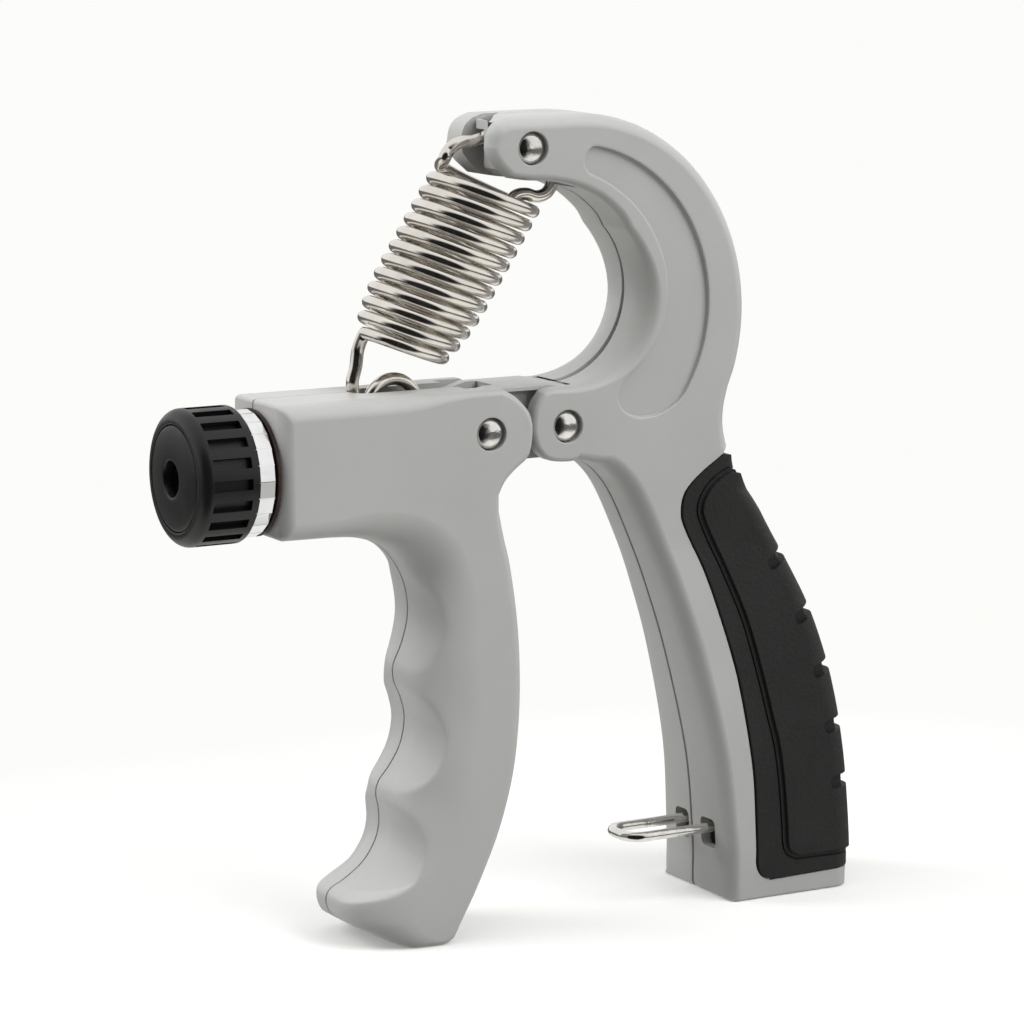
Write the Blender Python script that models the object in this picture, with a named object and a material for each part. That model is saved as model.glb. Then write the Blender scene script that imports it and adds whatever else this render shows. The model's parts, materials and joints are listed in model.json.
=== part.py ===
"""Adjustable hand gripper: two handles joined by a link, pulled open by a coil spring.

Sizes below are millimetres and become Blender's metres where a mesh is made.
X runs from the knob towards the palm handle, Y across the handles, Z up.
The origin is the middle of the palm handle's foot, on the surface it stands on.
"""

import math

import bmesh
import bpy
from mathutils import Matrix, Vector

MM = 0.001

# Clearances
GAP = 0.3
RUNNING_GAP = 0.35

# Handles across Y
PART_Y = 0.6
ARM_HALF = 9.3
FOOT_HALF_NEAR = 13.9
FOOT_HALF_FAR = 12.4
FLARE_TOP_Z = 70.0
FLARE_BOTTOM_Z = 10.0
LUG_HALF_NEAR = 10.6
LUG_HALF_FAR = 9.8
BARREL_SPREAD_NEAR = 0.032
BARREL_SPREAD_FAR = 0.012
GRIP_SPREAD = 0.02
CHEEK_INNER = 6.3
WALL = 2.6
EDGE_R = 2.4

# Pivots of the link
PIVOT_Z = 95.2
FINGER_PIVOT_X = -65.6
PIVOT_SPAN = 17.1
FINGER_LUG_R = 9.3
LINK_END_R = 7.2
LINK_RISE = 8.0
LINK_DROP = 6.3
LINK_HALF = CHEEK_INNER - GAP

# Top arm: its centre is placed from the palm pivot
ARM_CENTRE_OUT = 2.8
ARM_CENTRE_UP = 19.9
ARM_OUTER_R = 36.5
ARM_OUTER_RISE = 38.2
THROAT_R = 17.2
THROAT_BACK = 2.5
NOSE_REACH = 9.1
NOSE_DEPTH = 12.0
NOSE_SHARE = 10.3 / 36.5
NOSE_SLOT_HALF = 1.9
HANGER_LENGTH = 18.7
HANGER_CHEEK = 2.4

# Crescent recess in both sides of the arm
CRESCENT_DEPTH = 1.0
CRESCENT_EDGE = 5.6

# Barrel
BARREL_LENGTH = 43.2
BARREL_TOP_Z = 103.4
BARREL_BOTTOM_Z = 78.7
BARREL_EDGE = 3.4
BARREL_END_EDGE = 2.4
BARREL_CORNER = 0.7
BARREL_END_WALL = 6.0
CHAMBER_HALF = 7.0
CHAMBER_TOP_WALL = 2.0
CHAMBER_FLOOR = 4.2
SLOT_HALF = 3.2

# Adjusting screw, knob and collar
SCREW_Z = 90.1
SCREW_R = 3.0
SCREW_PITCH = 1.25
KNOB_R = 12.6
KNOB_LENGTH = 11.3
KNOB_FACE_R = 9.6
KNOB_HOLE_R = 3.3
KNOB_FLUTES = 20
FLUTE_DEPTH = 1.0
FLUTE_WIDTH = 2.3
COLLAR_R = 11.7
COLLAR_LENGTH = 3.4
WASHER_R = 12.0
WASHER_THICK = 0.5
CAP_THICK = 1.5
BUSH_R = 5.5
BUSH_FLANGE_R = 6.2
BUSH_FLANGE = 1.2
CLIP_R = 5.2
CLIP_THICK = 1.0
CLIP_GROOVE_R = 2.3

# Travelling nut, and how far from the finger pivot the spring hooks onto it
HOOK_REACH = 15.4
NUT_LENGTH = 8.5
NUT_HALF = 6.4
NUT_DROP = 5.4
NUT_EAR_INNER = 3.5
NUT_EAR_WIDTH = 6.0
NUT_EAR_WALL = 0.9
NUT_PIN_R = 1.9

# Spring: the coil lies between the two hooks, and its curls lean less than its axis
WIRE_R = 1.2
COIL_R = 9.7
COIL_LAST_R = 7.7
COIL_GAP = 0.49
CURL_LEAN = math.radians(23.2)
COIL_TOP_BACK = 4.2
COIL_TOP_DOWN = 6.9
COIL_FOOT_OUT = 1.9
COIL_FOOT_UP = 11.1
HOOK_R = 5.4
HOOK_SIDE_STEP = 1.6
POINTS_PER_CURL = 9

# Rivets and screws
RIVET_R = 1.8
RIVET_HEAD_R = 2.85
RIVET_HEAD_RISE = 1.3
RIVET_RECESS_R = 3.35
RIVET_RECESS = 1.6
SELF_TAPPER_R = 1.3
SELF_TAPPER_HEAD_R = 2.5
SELF_TAPPER_HEAD = 1.7
SELF_TAPPER_LENGTH = 9.0
SELF_TAPPER_RECESS = 3.2

# Locking bail: its legs lie off centre, each in its own slot
BAIL_WIRE_R = 1.0
BAIL_LEG_NEAR = -6.0
BAIL_LEG_FAR = 3.1
BAIL_REACH = 18.2
BAIL_Z = 13.4
BAIL_PIVOT_IN = 5.0
BAIL_CORNER_R = 3.4
BAIL_SLOT_NEAR = (-8.1, -2.8)
BAIL_SLOT_FAR = (1.6, 6.5)
BAIL_SLOT_LOW_Z = 9.4
BAIL_SLOT_HIGH_Z = 15.2
BAIL_BORE_WALL = 3.2

# Rubber on the palm handle
RUBBER_THICK = 2.2
RUBBER_PROUD = 0.3
PAD_PROUD = 0.7
PAD_GROOVES = 5
PAD_GROOVE_HALF = 1.3
PAD_GROOVE_DEPTH = 0.9

# Places of the shell screws, (x, z)
FINGER_SCREWS = ((-72.5, 76.5), (-67.0, 34.0))
PALM_SCREWS_LOW = ((-24.5, 93.5), (-21.6, 62.5))
ARM_SCREW_OUT = 13.3
ARM_SCREW_UP = 23.9

# What follows from the sizes above
PALM_PIVOT_X = FINGER_PIVOT_X + PIVOT_SPAN
PALM_LUG_R = PIVOT_SPAN - FINGER_LUG_R - GAP - 0.1
ARM_CENTRE_X = PALM_PIVOT_X + ARM_CENTRE_OUT
ARM_CENTRE_Z = PIVOT_Z + ARM_CENTRE_UP
THROAT_X = ARM_CENTRE_X - THROAT_BACK
THROAT_Z = PIVOT_Z + PALM_LUG_R + THROAT_R
NOSE_TOP_Z = ARM_CENTRE_Z + ARM_OUTER_RISE
SPRING_PIN_X = ARM_CENTRE_X - ARM_OUTER_R * NOSE_SHARE
SPRING_PIN_Z = NOSE_TOP_Z - NOSE_DEPTH / 2
BARREL_END_X = FINGER_PIVOT_X - BARREL_LENGTH
KNOB_BACK_X = BARREL_END_X - WASHER_THICK - COLLAR_LENGTH - 3 * GAP
KNOB_FRONT_X = KNOB_BACK_X - KNOB_LENGTH
CHAMBER_FLOOR_Z = BARREL_BOTTOM_Z + CHAMBER_FLOOR
HOOK_X = FINGER_PIVOT_X - HOOK_REACH
HOOK_Z = SCREW_Z + SCREW_R + GAP + WIRE_R + HOOK_R
SLOT_END_X = HOOK_X - HOOK_R - WIRE_R - 2.0
SCREW_TIP_X = HOOK_X + NUT_EAR_WIDTH / 2 + 4.0
NUT_PIN_Z = HOOK_Z - HOOK_R + WIRE_R + NUT_PIN_R + RUNNING_GAP
CRESCENT_OUTER_R = ARM_OUTER_R - CRESCENT_EDGE
FINGER_PIVOT = (FINGER_PIVOT_X, PIVOT_Z)
PALM_PIVOT = (PALM_PIVOT_X, PIVOT_Z)
SPRING_PIN = (SPRING_PIN_X, SPRING_PIN_Z)
PALM_SCREWS = ((ARM_CENTRE_X + ARM_SCREW_OUT, ARM_CENTRE_Z + ARM_SCREW_UP), *PALM_SCREWS_LOW)

REAR = 1
NEAR = -1


def clear_scene():
    for thing in list(bpy.data.objects):
        bpy.data.objects.remove(thing, do_unlink=True)


# Materials

def make_material(name, colour, roughness, metallic=0.0):
    material = bpy.data.materials.new(name)
    material.use_nodes = True
    shader = material.node_tree.nodes["Principled BSDF"]
    shader.inputs["Base Color"].default_value = (*colour, 1.0)
    shader.inputs["Roughness"].default_value = roughness
    shader.inputs["Metallic"].default_value = metallic
    material.diffuse_color = (*colour, 1.0)
    return material


GREY = (0.36, 0.365, 0.37)
BLACK = (0.015, 0.015, 0.016)
RUBBER = (0.02, 0.02, 0.021)
STEEL = (0.62, 0.6, 0.57)
BRASS = (0.6, 0.45, 0.2)
NYLON = (0.55, 0.53, 0.48)


# Outlines in the XZ plane

def arc(centre, radius, start, end, steps, rise=None):
    """Points of a round or oval arc, angles in degrees from +X towards +Z."""
    points = []
    for i in range(steps + 1):
        angle = math.radians(start + (end - start) * i / steps)
        points.append((centre[0] + radius * math.cos(angle), centre[1] + (rise or radius) * math.sin(angle)))
    return points


def about(centre, offsets):
    return [(centre[0] + x, centre[1] + z) for x, z in offsets]


def curve(knots, steps):
    """A smooth open curve through the knots, as points of any dimension."""
    points = []
    last = len(knots) - 1
    for i in range(last):
        before = knots[max(i - 1, 0)]
        here = knots[i]
        there = knots[i + 1]
        after = knots[min(i + 2, last)]
        for step in range(steps):
            t = step / steps
            point = []
            for a, b, c, d in zip(before, here, there, after):
                slope_in = (c - a) / 2
                slope_out = (d - b) / 2
                point.append(
                    (2 * t**3 - 3 * t**2 + 1) * b
                    + (t**3 - 2 * t**2 + t) * slope_in
                    + (3 * t**2 - 2 * t**3) * c
                    + (t**3 - t**2) * slope_out
                )
            points.append(tuple(point))
    points.append(tuple(knots[-1]))
    return points


def inward_normals(rim):
    """Unit vectors that point into a closed outline, one at each point."""
    count = len(rim)
    area = sum(
        rim[i][0] * rim[(i + 1) % count][1] - rim[(i + 1) % count][0] * rim[i][1]
        for i in range(count)
    )
    turn = 1 if area > 0 else -1
    normals = []
    for i in range(count):
        before = Vector(rim[i - 1][:2])
        here = Vector(rim[i][:2])
        after = Vector(rim[(i + 1) % count][:2])
        along = (here - before).normalized() + (after - here).normalized()
        along.normalize()
        normals.append(Vector((-along.y, along.x)) * turn)
    return normals


def inset(rim, distance):
    return [
        (x + n.x * distance, z + n.y * distance)
        for (x, z), n in zip(rim, inward_normals(rim))
    ]


# Meshes

def new_object(name, material=None):
    mesh = bpy.data.meshes.new(name)
    thing = bpy.data.objects.new(name, mesh)
    bpy.context.collection.objects.link(thing)
    if material:
        mesh.materials.append(material)
    return thing


def fill_mesh(thing, points, faces, smooth_angle=38):
    built = bmesh.new()
    verts = [built.verts.new((x * MM, y * MM, z * MM)) for x, y, z in points]
    for face in faces:
        built.faces.new([verts[i] for i in face])
    bmesh.ops.recalc_face_normals(built, faces=built.faces)
    built.to_mesh(thing.data)
    built.free()
    if smooth_angle:
        thing.data.shade_smooth()
        thing.data.set_sharp_from_angle(angle=math.radians(smooth_angle))
    return thing


def loft(name, rows, material=None, cap_pieces=None, smooth_angle=38):
    """A closed solid through rows of points, each row a closed ring, with flat ends."""
    count = len(rows[0])
    points = [point for row in rows for point in row]
    faces = []
    for r in range(len(rows) - 1):
        for i in range(count):
            j = (i + 1) % count
            faces.append((r * count + i, r * count + j, (r + 1) * count + j, (r + 1) * count + i))
    faces.append(tuple(range(count)))
    last = (len(rows) - 1) * count
    for piece in cap_pieces or [range(count)]:
        faces.append(tuple(last + i for i in piece))
    return fill_mesh(new_object(name, material), points, faces, smooth_angle)


def prism(name, outline, low_y, high_y, material=None):
    rows = [[(x, y, z) for x, z in outline] for y in (low_y, high_y)]
    return loft(name, rows, material)


def box(name, low, high, material=None):
    outline = [(low[0], low[2]), (high[0], low[2]), (high[0], high[2]), (low[0], high[2])]
    return prism(name, outline, low[1], high[1], material)


def turned(name, profile, axis, centre, material=None, sides=32, hollow=False):
    """A turned solid from (distance along the axis, radius) points.

    A hollow profile is a closed ring; any other starts and ends at radius zero.
    """
    points = []
    rings = []
    for along, radius in profile:
        ring = []
        if radius == 0:
            ring = [len(points)] * sides
            points.append((along, 0.0, 0.0))
        else:
            for i in range(sides):
                angle = 2 * math.pi * i / sides
                ring.append(len(points))
                points.append((along, radius * math.cos(angle), radius * math.sin(angle)))
        rings.append(ring)
    pairs = list(zip(rings, rings[1:]))
    if hollow:
        pairs.append((rings[-1], rings[0]))
    faces = []
    for low, high in pairs:
        for i in range(sides):
            j = (i + 1) % sides
            corners = []
            for index in (low[i], low[j], high[j], high[i]):
                if index not in corners:
                    corners.append(index)
            faces.append(tuple(corners))
    if axis == "X":
        placed = [(centre[0] + a, centre[1] + u, centre[2] + v) for a, u, v in points]
    else:
        placed = [(centre[0] + u, centre[1] + a, centre[2] + v) for a, u, v in points]
    return fill_mesh(new_object(name, material), placed, faces)


def rod(name, axis, centre, radius, low, high, material=None, sides=32):
    profile = [(low, 0), (low, radius), (high, radius), (high, 0)]
    return turned(name, profile, axis, centre, material, sides)


def bore(name, centre, radius, low_y=-30.0, high_y=30.0, sides=32):
    return rod(name, "Y", (centre[0], 0.0, centre[1]), radius, low_y, high_y, sides=sides)


def carve(thing, *cutters, solver="EXACT"):
    for cutter in cutters:
        cutter.hide_render = True
        cutter.display_type = "WIRE"
        modifier = thing.modifiers.new("cut " + cutter.name, "BOOLEAN")
        modifier.operation = "DIFFERENCE"
        modifier.solver = solver
        modifier.object = cutter
    return thing


def wire(name, points, radius, material, resolution):
    """A round wire along points, as a bevelled curve with closed ends."""
    data = bpy.data.curves.new(name, "CURVE")
    data.dimensions = "3D"
    data.bevel_depth = radius * MM
    data.bevel_resolution = resolution
    data.use_fill_caps = True
    data.twist_mode = "MINIMUM"
    spline = data.splines.new("POLY")
    spline.points.add(len(points) - 1)
    for target, (x, y, z) in zip(spline.points, points):
        target.co = (x * MM, y * MM, z * MM, 1.0)
    data.materials.append(material)
    thing = bpy.data.objects.new(name, data)
    bpy.context.collection.objects.link(thing)
    return thing


# Half a handle, rounded from its rim to its outer face

def half_shell(name, stations, half_at, side, material, cap_pieces=None, steps=3):
    """Stations are (rim x, rim z, face x, face z, depth of the rounding)."""
    join_y = PART_Y + side * GAP / 2
    rows = [[(s[0], join_y, s[1]) for s in stations]]
    for step in range(steps + 1):
        angle = math.pi / 2 * step / steps
        row = []
        for rim_x, rim_z, face_x, face_z, depth in stations:
            half = half_at(face_x, face_z, side)
            pull = 1 - math.cos(angle)
            y = side * (half - depth + depth * math.sin(angle))
            row.append((rim_x + (face_x - rim_x) * pull, y, rim_z + (face_z - rim_z) * pull))
        rows.append(row)
    return loft(name, rows, material, cap_pieces)


def palm_half(x, z, side=REAR):
    foot = FOOT_HALF_FAR if side == REAR else FOOT_HALF_NEAR
    share = (FLARE_TOP_Z - z) / (FLARE_TOP_Z - FLARE_BOTTOM_Z)
    return ARM_HALF + (foot - ARM_HALF) * min(max(share, 0.0), 1.0)


def finger_half(x, z, side):
    """Thicker towards the knob, most of all on the near side, and towards the heel."""
    lug, spread = LUG_HALF_NEAR, BARREL_SPREAD_NEAR
    if side == REAR:
        lug, spread = LUG_HALF_FAR, BARREL_SPREAD_FAR
    return lug + spread * (FINGER_PIVOT_X + FINGER_LUG_R - x) + GRIP_SPREAD * (PIVOT_Z - z)


# Outline of the palm handle, in stretches named by where they lie

NOSE_TIP_X = SPRING_PIN_X - NOSE_REACH
NOSE_FRONT = [(-9.1, 0.2), (-8.7, 3.0), (-7.2, 4.9), (-4.6, 5.9)]
NOSE_ROOF = [
    (18.9, -13.3), (15.6, -10.4), (12.9, -8.8), (9.5, -7.4), (4.5, -6.3), (-0.8, -5.9), (-4.6, -5.3),
]
NOSE_CHIN = [(-7.1, -3.2), (-8.6, -1.4)]
PALM_LUG = [
    (2.6, -6.7), (-0.6, -6.7), (-3.9, -6.1), (-6.1, -4.3),
    (-7.2, -1.6), (-7.3, 1.4), (-6.7, 4.4), (-5.0, 6.8),
]
NECK = [(-12.2, 100.2), (-13.1, 96.6), (-13.3, 93.0), (-12.7, 89.6)]
BACK = [
    (-11.9, 87.6), (-8.4, 81.8), (-3.6, 74.0), (-1.3, FLARE_TOP_Z), (4.0, 60.6), (9.3, 47.2),
    (12.4, 33.1), (13.6, 21.8), (14.0, FLARE_BOTTOM_Z), (14.1, 3.2),
]
INNER = [
    (-14.4, 3.2), (-14.5, FLARE_BOTTOM_Z), (-16.2, 27.5), (-21.0, 47.5), (-25.6, 61.5),
    (-29.0, FLARE_TOP_Z), (-33.6, 79.8), (-37.4, 84.8), (-41.0, 87.2),
]


def palm_rim():
    """The closed outline and the indices of its points at the top and bottom of the flare."""
    rim = about(SPRING_PIN, NOSE_FRONT) + [(SPRING_PIN_X + 2.0, NOSE_TOP_Z)]
    rim += arc((ARM_CENTRE_X, ARM_CENTRE_Z), ARM_OUTER_R, 92, -18, 17, ARM_OUTER_RISE)
    rim += curve(NECK, 2)
    rim += curve(BACK, 2)
    rim += [(13.2, 0.9), (11.0, 0.0), (-11.3, 0.0), (-13.5, 0.9)]
    rim += curve(INNER, 2)
    rim += curve(about(PALM_PIVOT, PALM_LUG), 2)
    rim += [(THROAT_X - 3.6, THROAT_Z - THROAT_R)]
    rim += arc((THROAT_X, THROAT_Z), THROAT_R, -88, 42, 13)
    rim += curve(about(SPRING_PIN, NOSE_ROOF), 2)
    rim += about(SPRING_PIN, NOSE_CHIN)
    flare = [i for i, (x, z) in enumerate(rim) if min(abs(z - FLARE_TOP_Z), abs(z - FLARE_BOTTOM_Z)) < 1e-6]
    return rim, flare


def palm_stations(rim, flare, edge):
    """Stations whose face points at the flare's ends lie at the same height as their rim points."""
    stations = []
    for i, ((x, z), normal) in enumerate(zip(rim, inward_normals(rim))):
        face = (x + edge / normal.x, z) if i in flare else (x + normal.x * edge, z + normal.y * edge)
        stations.append((x, z, *face, edge))
    return stations


# Outline of the finger handle: the grip's front carries the finger scallops

GRIP_FRONT = [
    # rim x, rim z, face x, face z, depth of the rounding
    (-98.0, 78.4, -97.0, 82.2, 3.8),
    (-92.5, 77.7, -89.5, 82.9, 5.2),
    (-87.6, 76.2, -82.4, 82.0, 7.0),
    (-83.0, 74.0, -77.0, 79.6, 8.4),
    (-79.9, 70.3, -72.4, 75.4, 8.6),
    (-78.1, 66.4, -70.4, 70.8, 8.6),
    (-77.4, 62.4, -69.3, 66.6, 8.6),
    (-77.7, 58.9, -68.9, 63.4, 8.6),
    (-78.9, 54.9, -68.8, 60.0, 8.6),
    (-80.5, 51.3, -68.8, 57.0, 8.6),
    (-80.4, 48.3, -68.6, 53.8, 8.6),
    (-79.0, 45.0, -68.4, 50.4, 8.6),
    (-78.2, 41.0, -68.4, 46.6, 8.6),
    (-79.0, 36.5, -68.7, 42.4, 8.6),
    (-81.0, 32.8, -69.3, 38.8, 8.6),
    (-83.6, 29.6, -69.9, 35.6, 8.6),
    (-84.3, 27.2, -70.3, 32.8, 8.6),
    (-83.8, 24.4, -70.9, 29.8, 8.6),
    (-83.7, 21.2, -71.7, 26.6, 8.6),
    (-84.7, 17.8, -73.2, 23.0, 8.6),
    (-87.2, 14.3, -75.0, 19.2, 8.6),
    (-90.8, 11.7, -77.4, 15.8, 8.6),
    (-93.7, 10.2, -79.6, 13.2, 8.6),
    (-94.8, 8.6, -81.2, 10.8, 8.6),
    (-94.6, 6.6, -82.0, 8.8, 8.6),
    (-93.2, 4.6, -82.2, 7.0, 8.4),
    (-90.4, 3.1, -81.8, 5.6, 7.6),
    (-86.6, 1.2, -80.6, 4.2, 6.0),
    (-83.0, 0.0, -79.2, 3.2, 4.4),
    (-80.0, 0.0, -78.0, 2.7, 3.2),
]
GRIP_BACK = [
    (-74.6, 1.0), (-72.3, 5.0), (-69.4, 10.0), (-64.5, 20.0), (-61.2, 30.0), (-59.6, 40.0), (-59.2, 50.0),
    (-59.7, 60.0), (-61.1, 70.0), (-62.4, 75.5), (-63.6, 80.6),
]
FINGER_LUG = [
    (1.9, -11.6), (3.2, -9.2), (5.3, -7.2), (7.9, -5.3), (8.9, -3.2), (9.3, 0.0), (9.1, 1.8), (8.2, 3.9),
    (5.5, 6.6), (2.4, 8.2),
]


def finger_stations():
    stations = list(GRIP_FRONT)
    plain = [(-77.2, 0.0)]
    plain += curve(GRIP_BACK, 2)
    plain += curve(about(FINGER_PIVOT, FINGER_LUG), 2)
    plain += [(FINGER_PIVOT_X - 1.0, BARREL_TOP_Z)]
    rim = [(s[0], s[1]) for s in stations] + plain + [(-80.0, BARREL_TOP_Z)]
    normals = inward_normals(rim)
    for (x, z), normal in list(zip(rim, normals))[len(stations):-1]:
        stations.append((x, z, x + normal.x * EDGE_R, z + normal.y * EDGE_R, EDGE_R))
    for x in (-76.0, -88.0, -99.0):
        stations.append((x, BARREL_TOP_Z, x, BARREL_TOP_Z - BARREL_EDGE, BARREL_EDGE))
    end = BARREL_END_X
    cut = BARREL_CORNER
    face = end + BARREL_END_EDGE
    high = BARREL_TOP_Z - BARREL_EDGE
    low = BARREL_BOTTOM_Z + BARREL_EDGE
    stations += [
        (end + cut, BARREL_TOP_Z, face + 0.6, high, BARREL_EDGE),
        (end, BARREL_TOP_Z - cut, face, high - 0.4, BARREL_EDGE),
        (end, SCREW_Z, face, SCREW_Z, BARREL_EDGE),
        (end, BARREL_BOTTOM_Z + cut, face, low + 0.4, BARREL_EDGE),
        (end + cut, BARREL_BOTTOM_Z, face + 0.6, low, BARREL_EDGE),
    ]
    return stations


# Cutters shared by the two halves of a handle

def rivet_holes(name, centre, half, side):
    low, high = sorted((side * (half - RIVET_RECESS), side * (half + 5)))
    hole = bore(name + " bore", centre, RIVET_R + GAP)
    return [hole, bore(name + " seat", centre, RIVET_RECESS_R, low, high)]


def screw_seat(centre, half):
    return half - SELF_TAPPER_RECESS


def screw_holes(name, centre, half):
    seat = screw_seat(centre, half)
    return [
        bore(name + " shank", centre, SELF_TAPPER_R + GAP, seat - SELF_TAPPER_LENGTH - 1, seat + 1, 16),
        bore(name + " seat", centre, SELF_TAPPER_HEAD_R + GAP, seat, half + 5, 24),
    ]


def crescent(name, side):
    centre = (ARM_CENTRE_X - 3.0, ARM_CENTRE_Z + 1.9)
    outline = arc(centre, CRESCENT_OUTER_R, 72, -34, 18)
    tail = [(23.5, 2.8), (19.5, 0.9), (15.3, 0.7), (11.9, 2.4), (10.9, 5.4), (12.3, 8.0)]
    outline += about(PALM_PIVOT, tail)
    inner_side = [
        (16.2, -13.1), (19.6, -8.3), (21.3, -2.3), (20.9, 4.2),
        (18.4, 10.5), (14.0, 16.3), (8.6, 20.4), (4.2, 22.5),
    ]
    outline += curve(about((THROAT_X, THROAT_Z), inner_side), 2)
    outline += about((THROAT_X, THROAT_Z), [(3.2, 24.2), (3.6, 26.1), (5.3, 27.4)])
    low, high = sorted((side * (ARM_HALF - CRESCENT_DEPTH), side * (ARM_HALF + 3)))
    return prism(name, outline, low, high)


def nose_outline(grow):
    """The spring hanger's outline: the arm's nose, cut off behind the spring pin."""
    back = HANGER_LENGTH - NOSE_REACH
    outline = about(SPRING_PIN, NOSE_FRONT) + [(SPRING_PIN_X + back, NOSE_TOP_Z)]
    outline += about(SPRING_PIN, [(back, -7.4), *NOSE_ROOF[-3:], *NOSE_CHIN])
    return inset(outline, -grow)


def nose_cutters():
    """Room for the spring hanger, and the slot that the spring's upper hook hangs in."""
    hanger_low = -ARM_HALF + HANGER_CHEEK
    hook_back_x = SPRING_PIN_X + max(x for x, z in UPPER_HOOK) + WIRE_R
    back_x = max(NOSE_TIP_X + HANGER_LENGTH, hook_back_x) + GAP
    low = (NOSE_TIP_X - 20, hanger_low, SPRING_PIN_Z - 10)
    return [box("hanger room", low, (back_x, NOSE_SLOT_HALF, NOSE_TOP_Z + 20))]


def link_outline(grow=0.0):
    left = arc(FINGER_PIVOT, LINK_END_R, 100, 240, 12)
    low_z = PIVOT_Z - LINK_DROP
    high_z = PIVOT_Z + LINK_RISE
    right_x = PALM_PIVOT_X + 10.5
    outline = [(FINGER_PIVOT_X + 2.0, high_z)] + left
    outline += [(FINGER_PIVOT_X + 1.0, low_z), (right_x - 1.5, low_z), (right_x, low_z + 1.5)]
    outline += [(right_x, PIVOT_Z + 2.0), (PALM_PIVOT_X + 3.0, high_z - 0.9), (PALM_PIVOT_X - 2.4, high_z)]
    return inset(outline, -grow)


def palm_hollows(side):
    """Moulded hollows between ribs, open at the join."""
    hollows = []
    edge_y = PART_Y - side * 2

    def hollow(name, outline, depth_half):
        low, high = sorted((edge_y, side * (depth_half - WALL)))
        hollows.append(prism(name, outline, low, high))

    ring = arc((ARM_CENTRE_X, ARM_CENTRE_Z), ARM_OUTER_R - 4.6, 52, -12, 10)
    ring += arc((THROAT_X, THROAT_Z), THROAT_R + 3.6, -30, 42, 10)
    hollow("arm hollow", ring, ARM_HALF - CRESCENT_DEPTH)
    hollow("upper hollow", [(-32.0, 86.5), (-24.0, 86.5), (-20.5, 76.0), (-19.5, 69.0), (-25.5, 69.0),
                            (-28.0, 76.0), (-31.0, 80.0)], ARM_HALF)
    hollow("middle hollow", [(-11.5, 40.5), (-6.4, 40.5), (-5.0, 24.5), (-13.4, 24.5), (-15.6, 33.0),
                             (-16.6, 39.0)], palm_half(0, 40))
    return hollows


INNER_FACE_X = INNER[0][0]
BAIL_PIVOT_X = INNER_FACE_X + BAIL_PIVOT_IN


def bail_room():
    """The cavity, the two slots and the cross bore that the locking bail swings in."""
    near_y = -FOOT_HALF_NEAR + BAIL_BORE_WALL
    far_y = FOOT_HALF_FAR - BAIL_BORE_WALL
    room_low = (INNER_FACE_X + 2.4, near_y + 2, BAIL_Z - 7)
    room_high = (INNER_FACE_X + 9, far_y - 2, BAIL_Z + 6)
    cutters = [box("bail room", room_low, room_high)]
    for low_y, high_y in (BAIL_SLOT_NEAR, BAIL_SLOT_FAR):
        cutters.append(box("bail slot", (INNER_FACE_X - 3, low_y, BAIL_SLOT_LOW_Z),
                           (INNER_FACE_X + 4, high_y, BAIL_SLOT_HIGH_Z)))
    cutters.append(bore("bail bore", (BAIL_PIVOT_X, BAIL_Z), BAIL_WIRE_R + GAP, near_y, far_y, 16))
    return cutters


# Rubber: sections from its border on the side face to the middle of the handle's back

RUBBER_BORDER = [
    # border x and z on the side face, pad edge x and z, back x and z
    (-14.2, 87.4, -12.9, 86.3, -12.3, 87.2),
    (-19.1, 84.2, -13.6, 84.4, -10.5, 84.2),
    (-22.6, 80.8, -17.6, 81.0, -7.6, 79.4),
    (-23.5, 77.1, -19.2, 77.6, -5.6, 76.2),
    (-22.7, 73.8, -18.4, 74.4, -3.8, 73.1),
    (-18.7, 65.7, -14.0, 65.4, 0.9, 65.0),
    (-15.4, 56.6, -9.6, 55.0, 5.6, 55.8),
    (-12.2, 46.0, -6.4, 43.6, 9.1, 45.9),
    (-10.5, 37.6, -4.6, 36.0, 11.1, 37.6),
    (-9.4, 30.5, -3.2, 30.0, 12.2, 30.5),
    (-8.7, 23.6, -2.4, 23.0, 12.9, 23.6),
    (-8.6, 15.0, -2.0, 14.6, 13.3, 15.0),
    (-8.6, 9.4, -1.9, 10.2, 13.4, 9.8),
    (-7.6, 5.6, -0.6, 8.4, 13.5, 8.0),
    (-5.0, 3.8, 4.0, 7.6, 13.5, 4.2),
]
RUBBER_CORNER_R = 4.2


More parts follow.
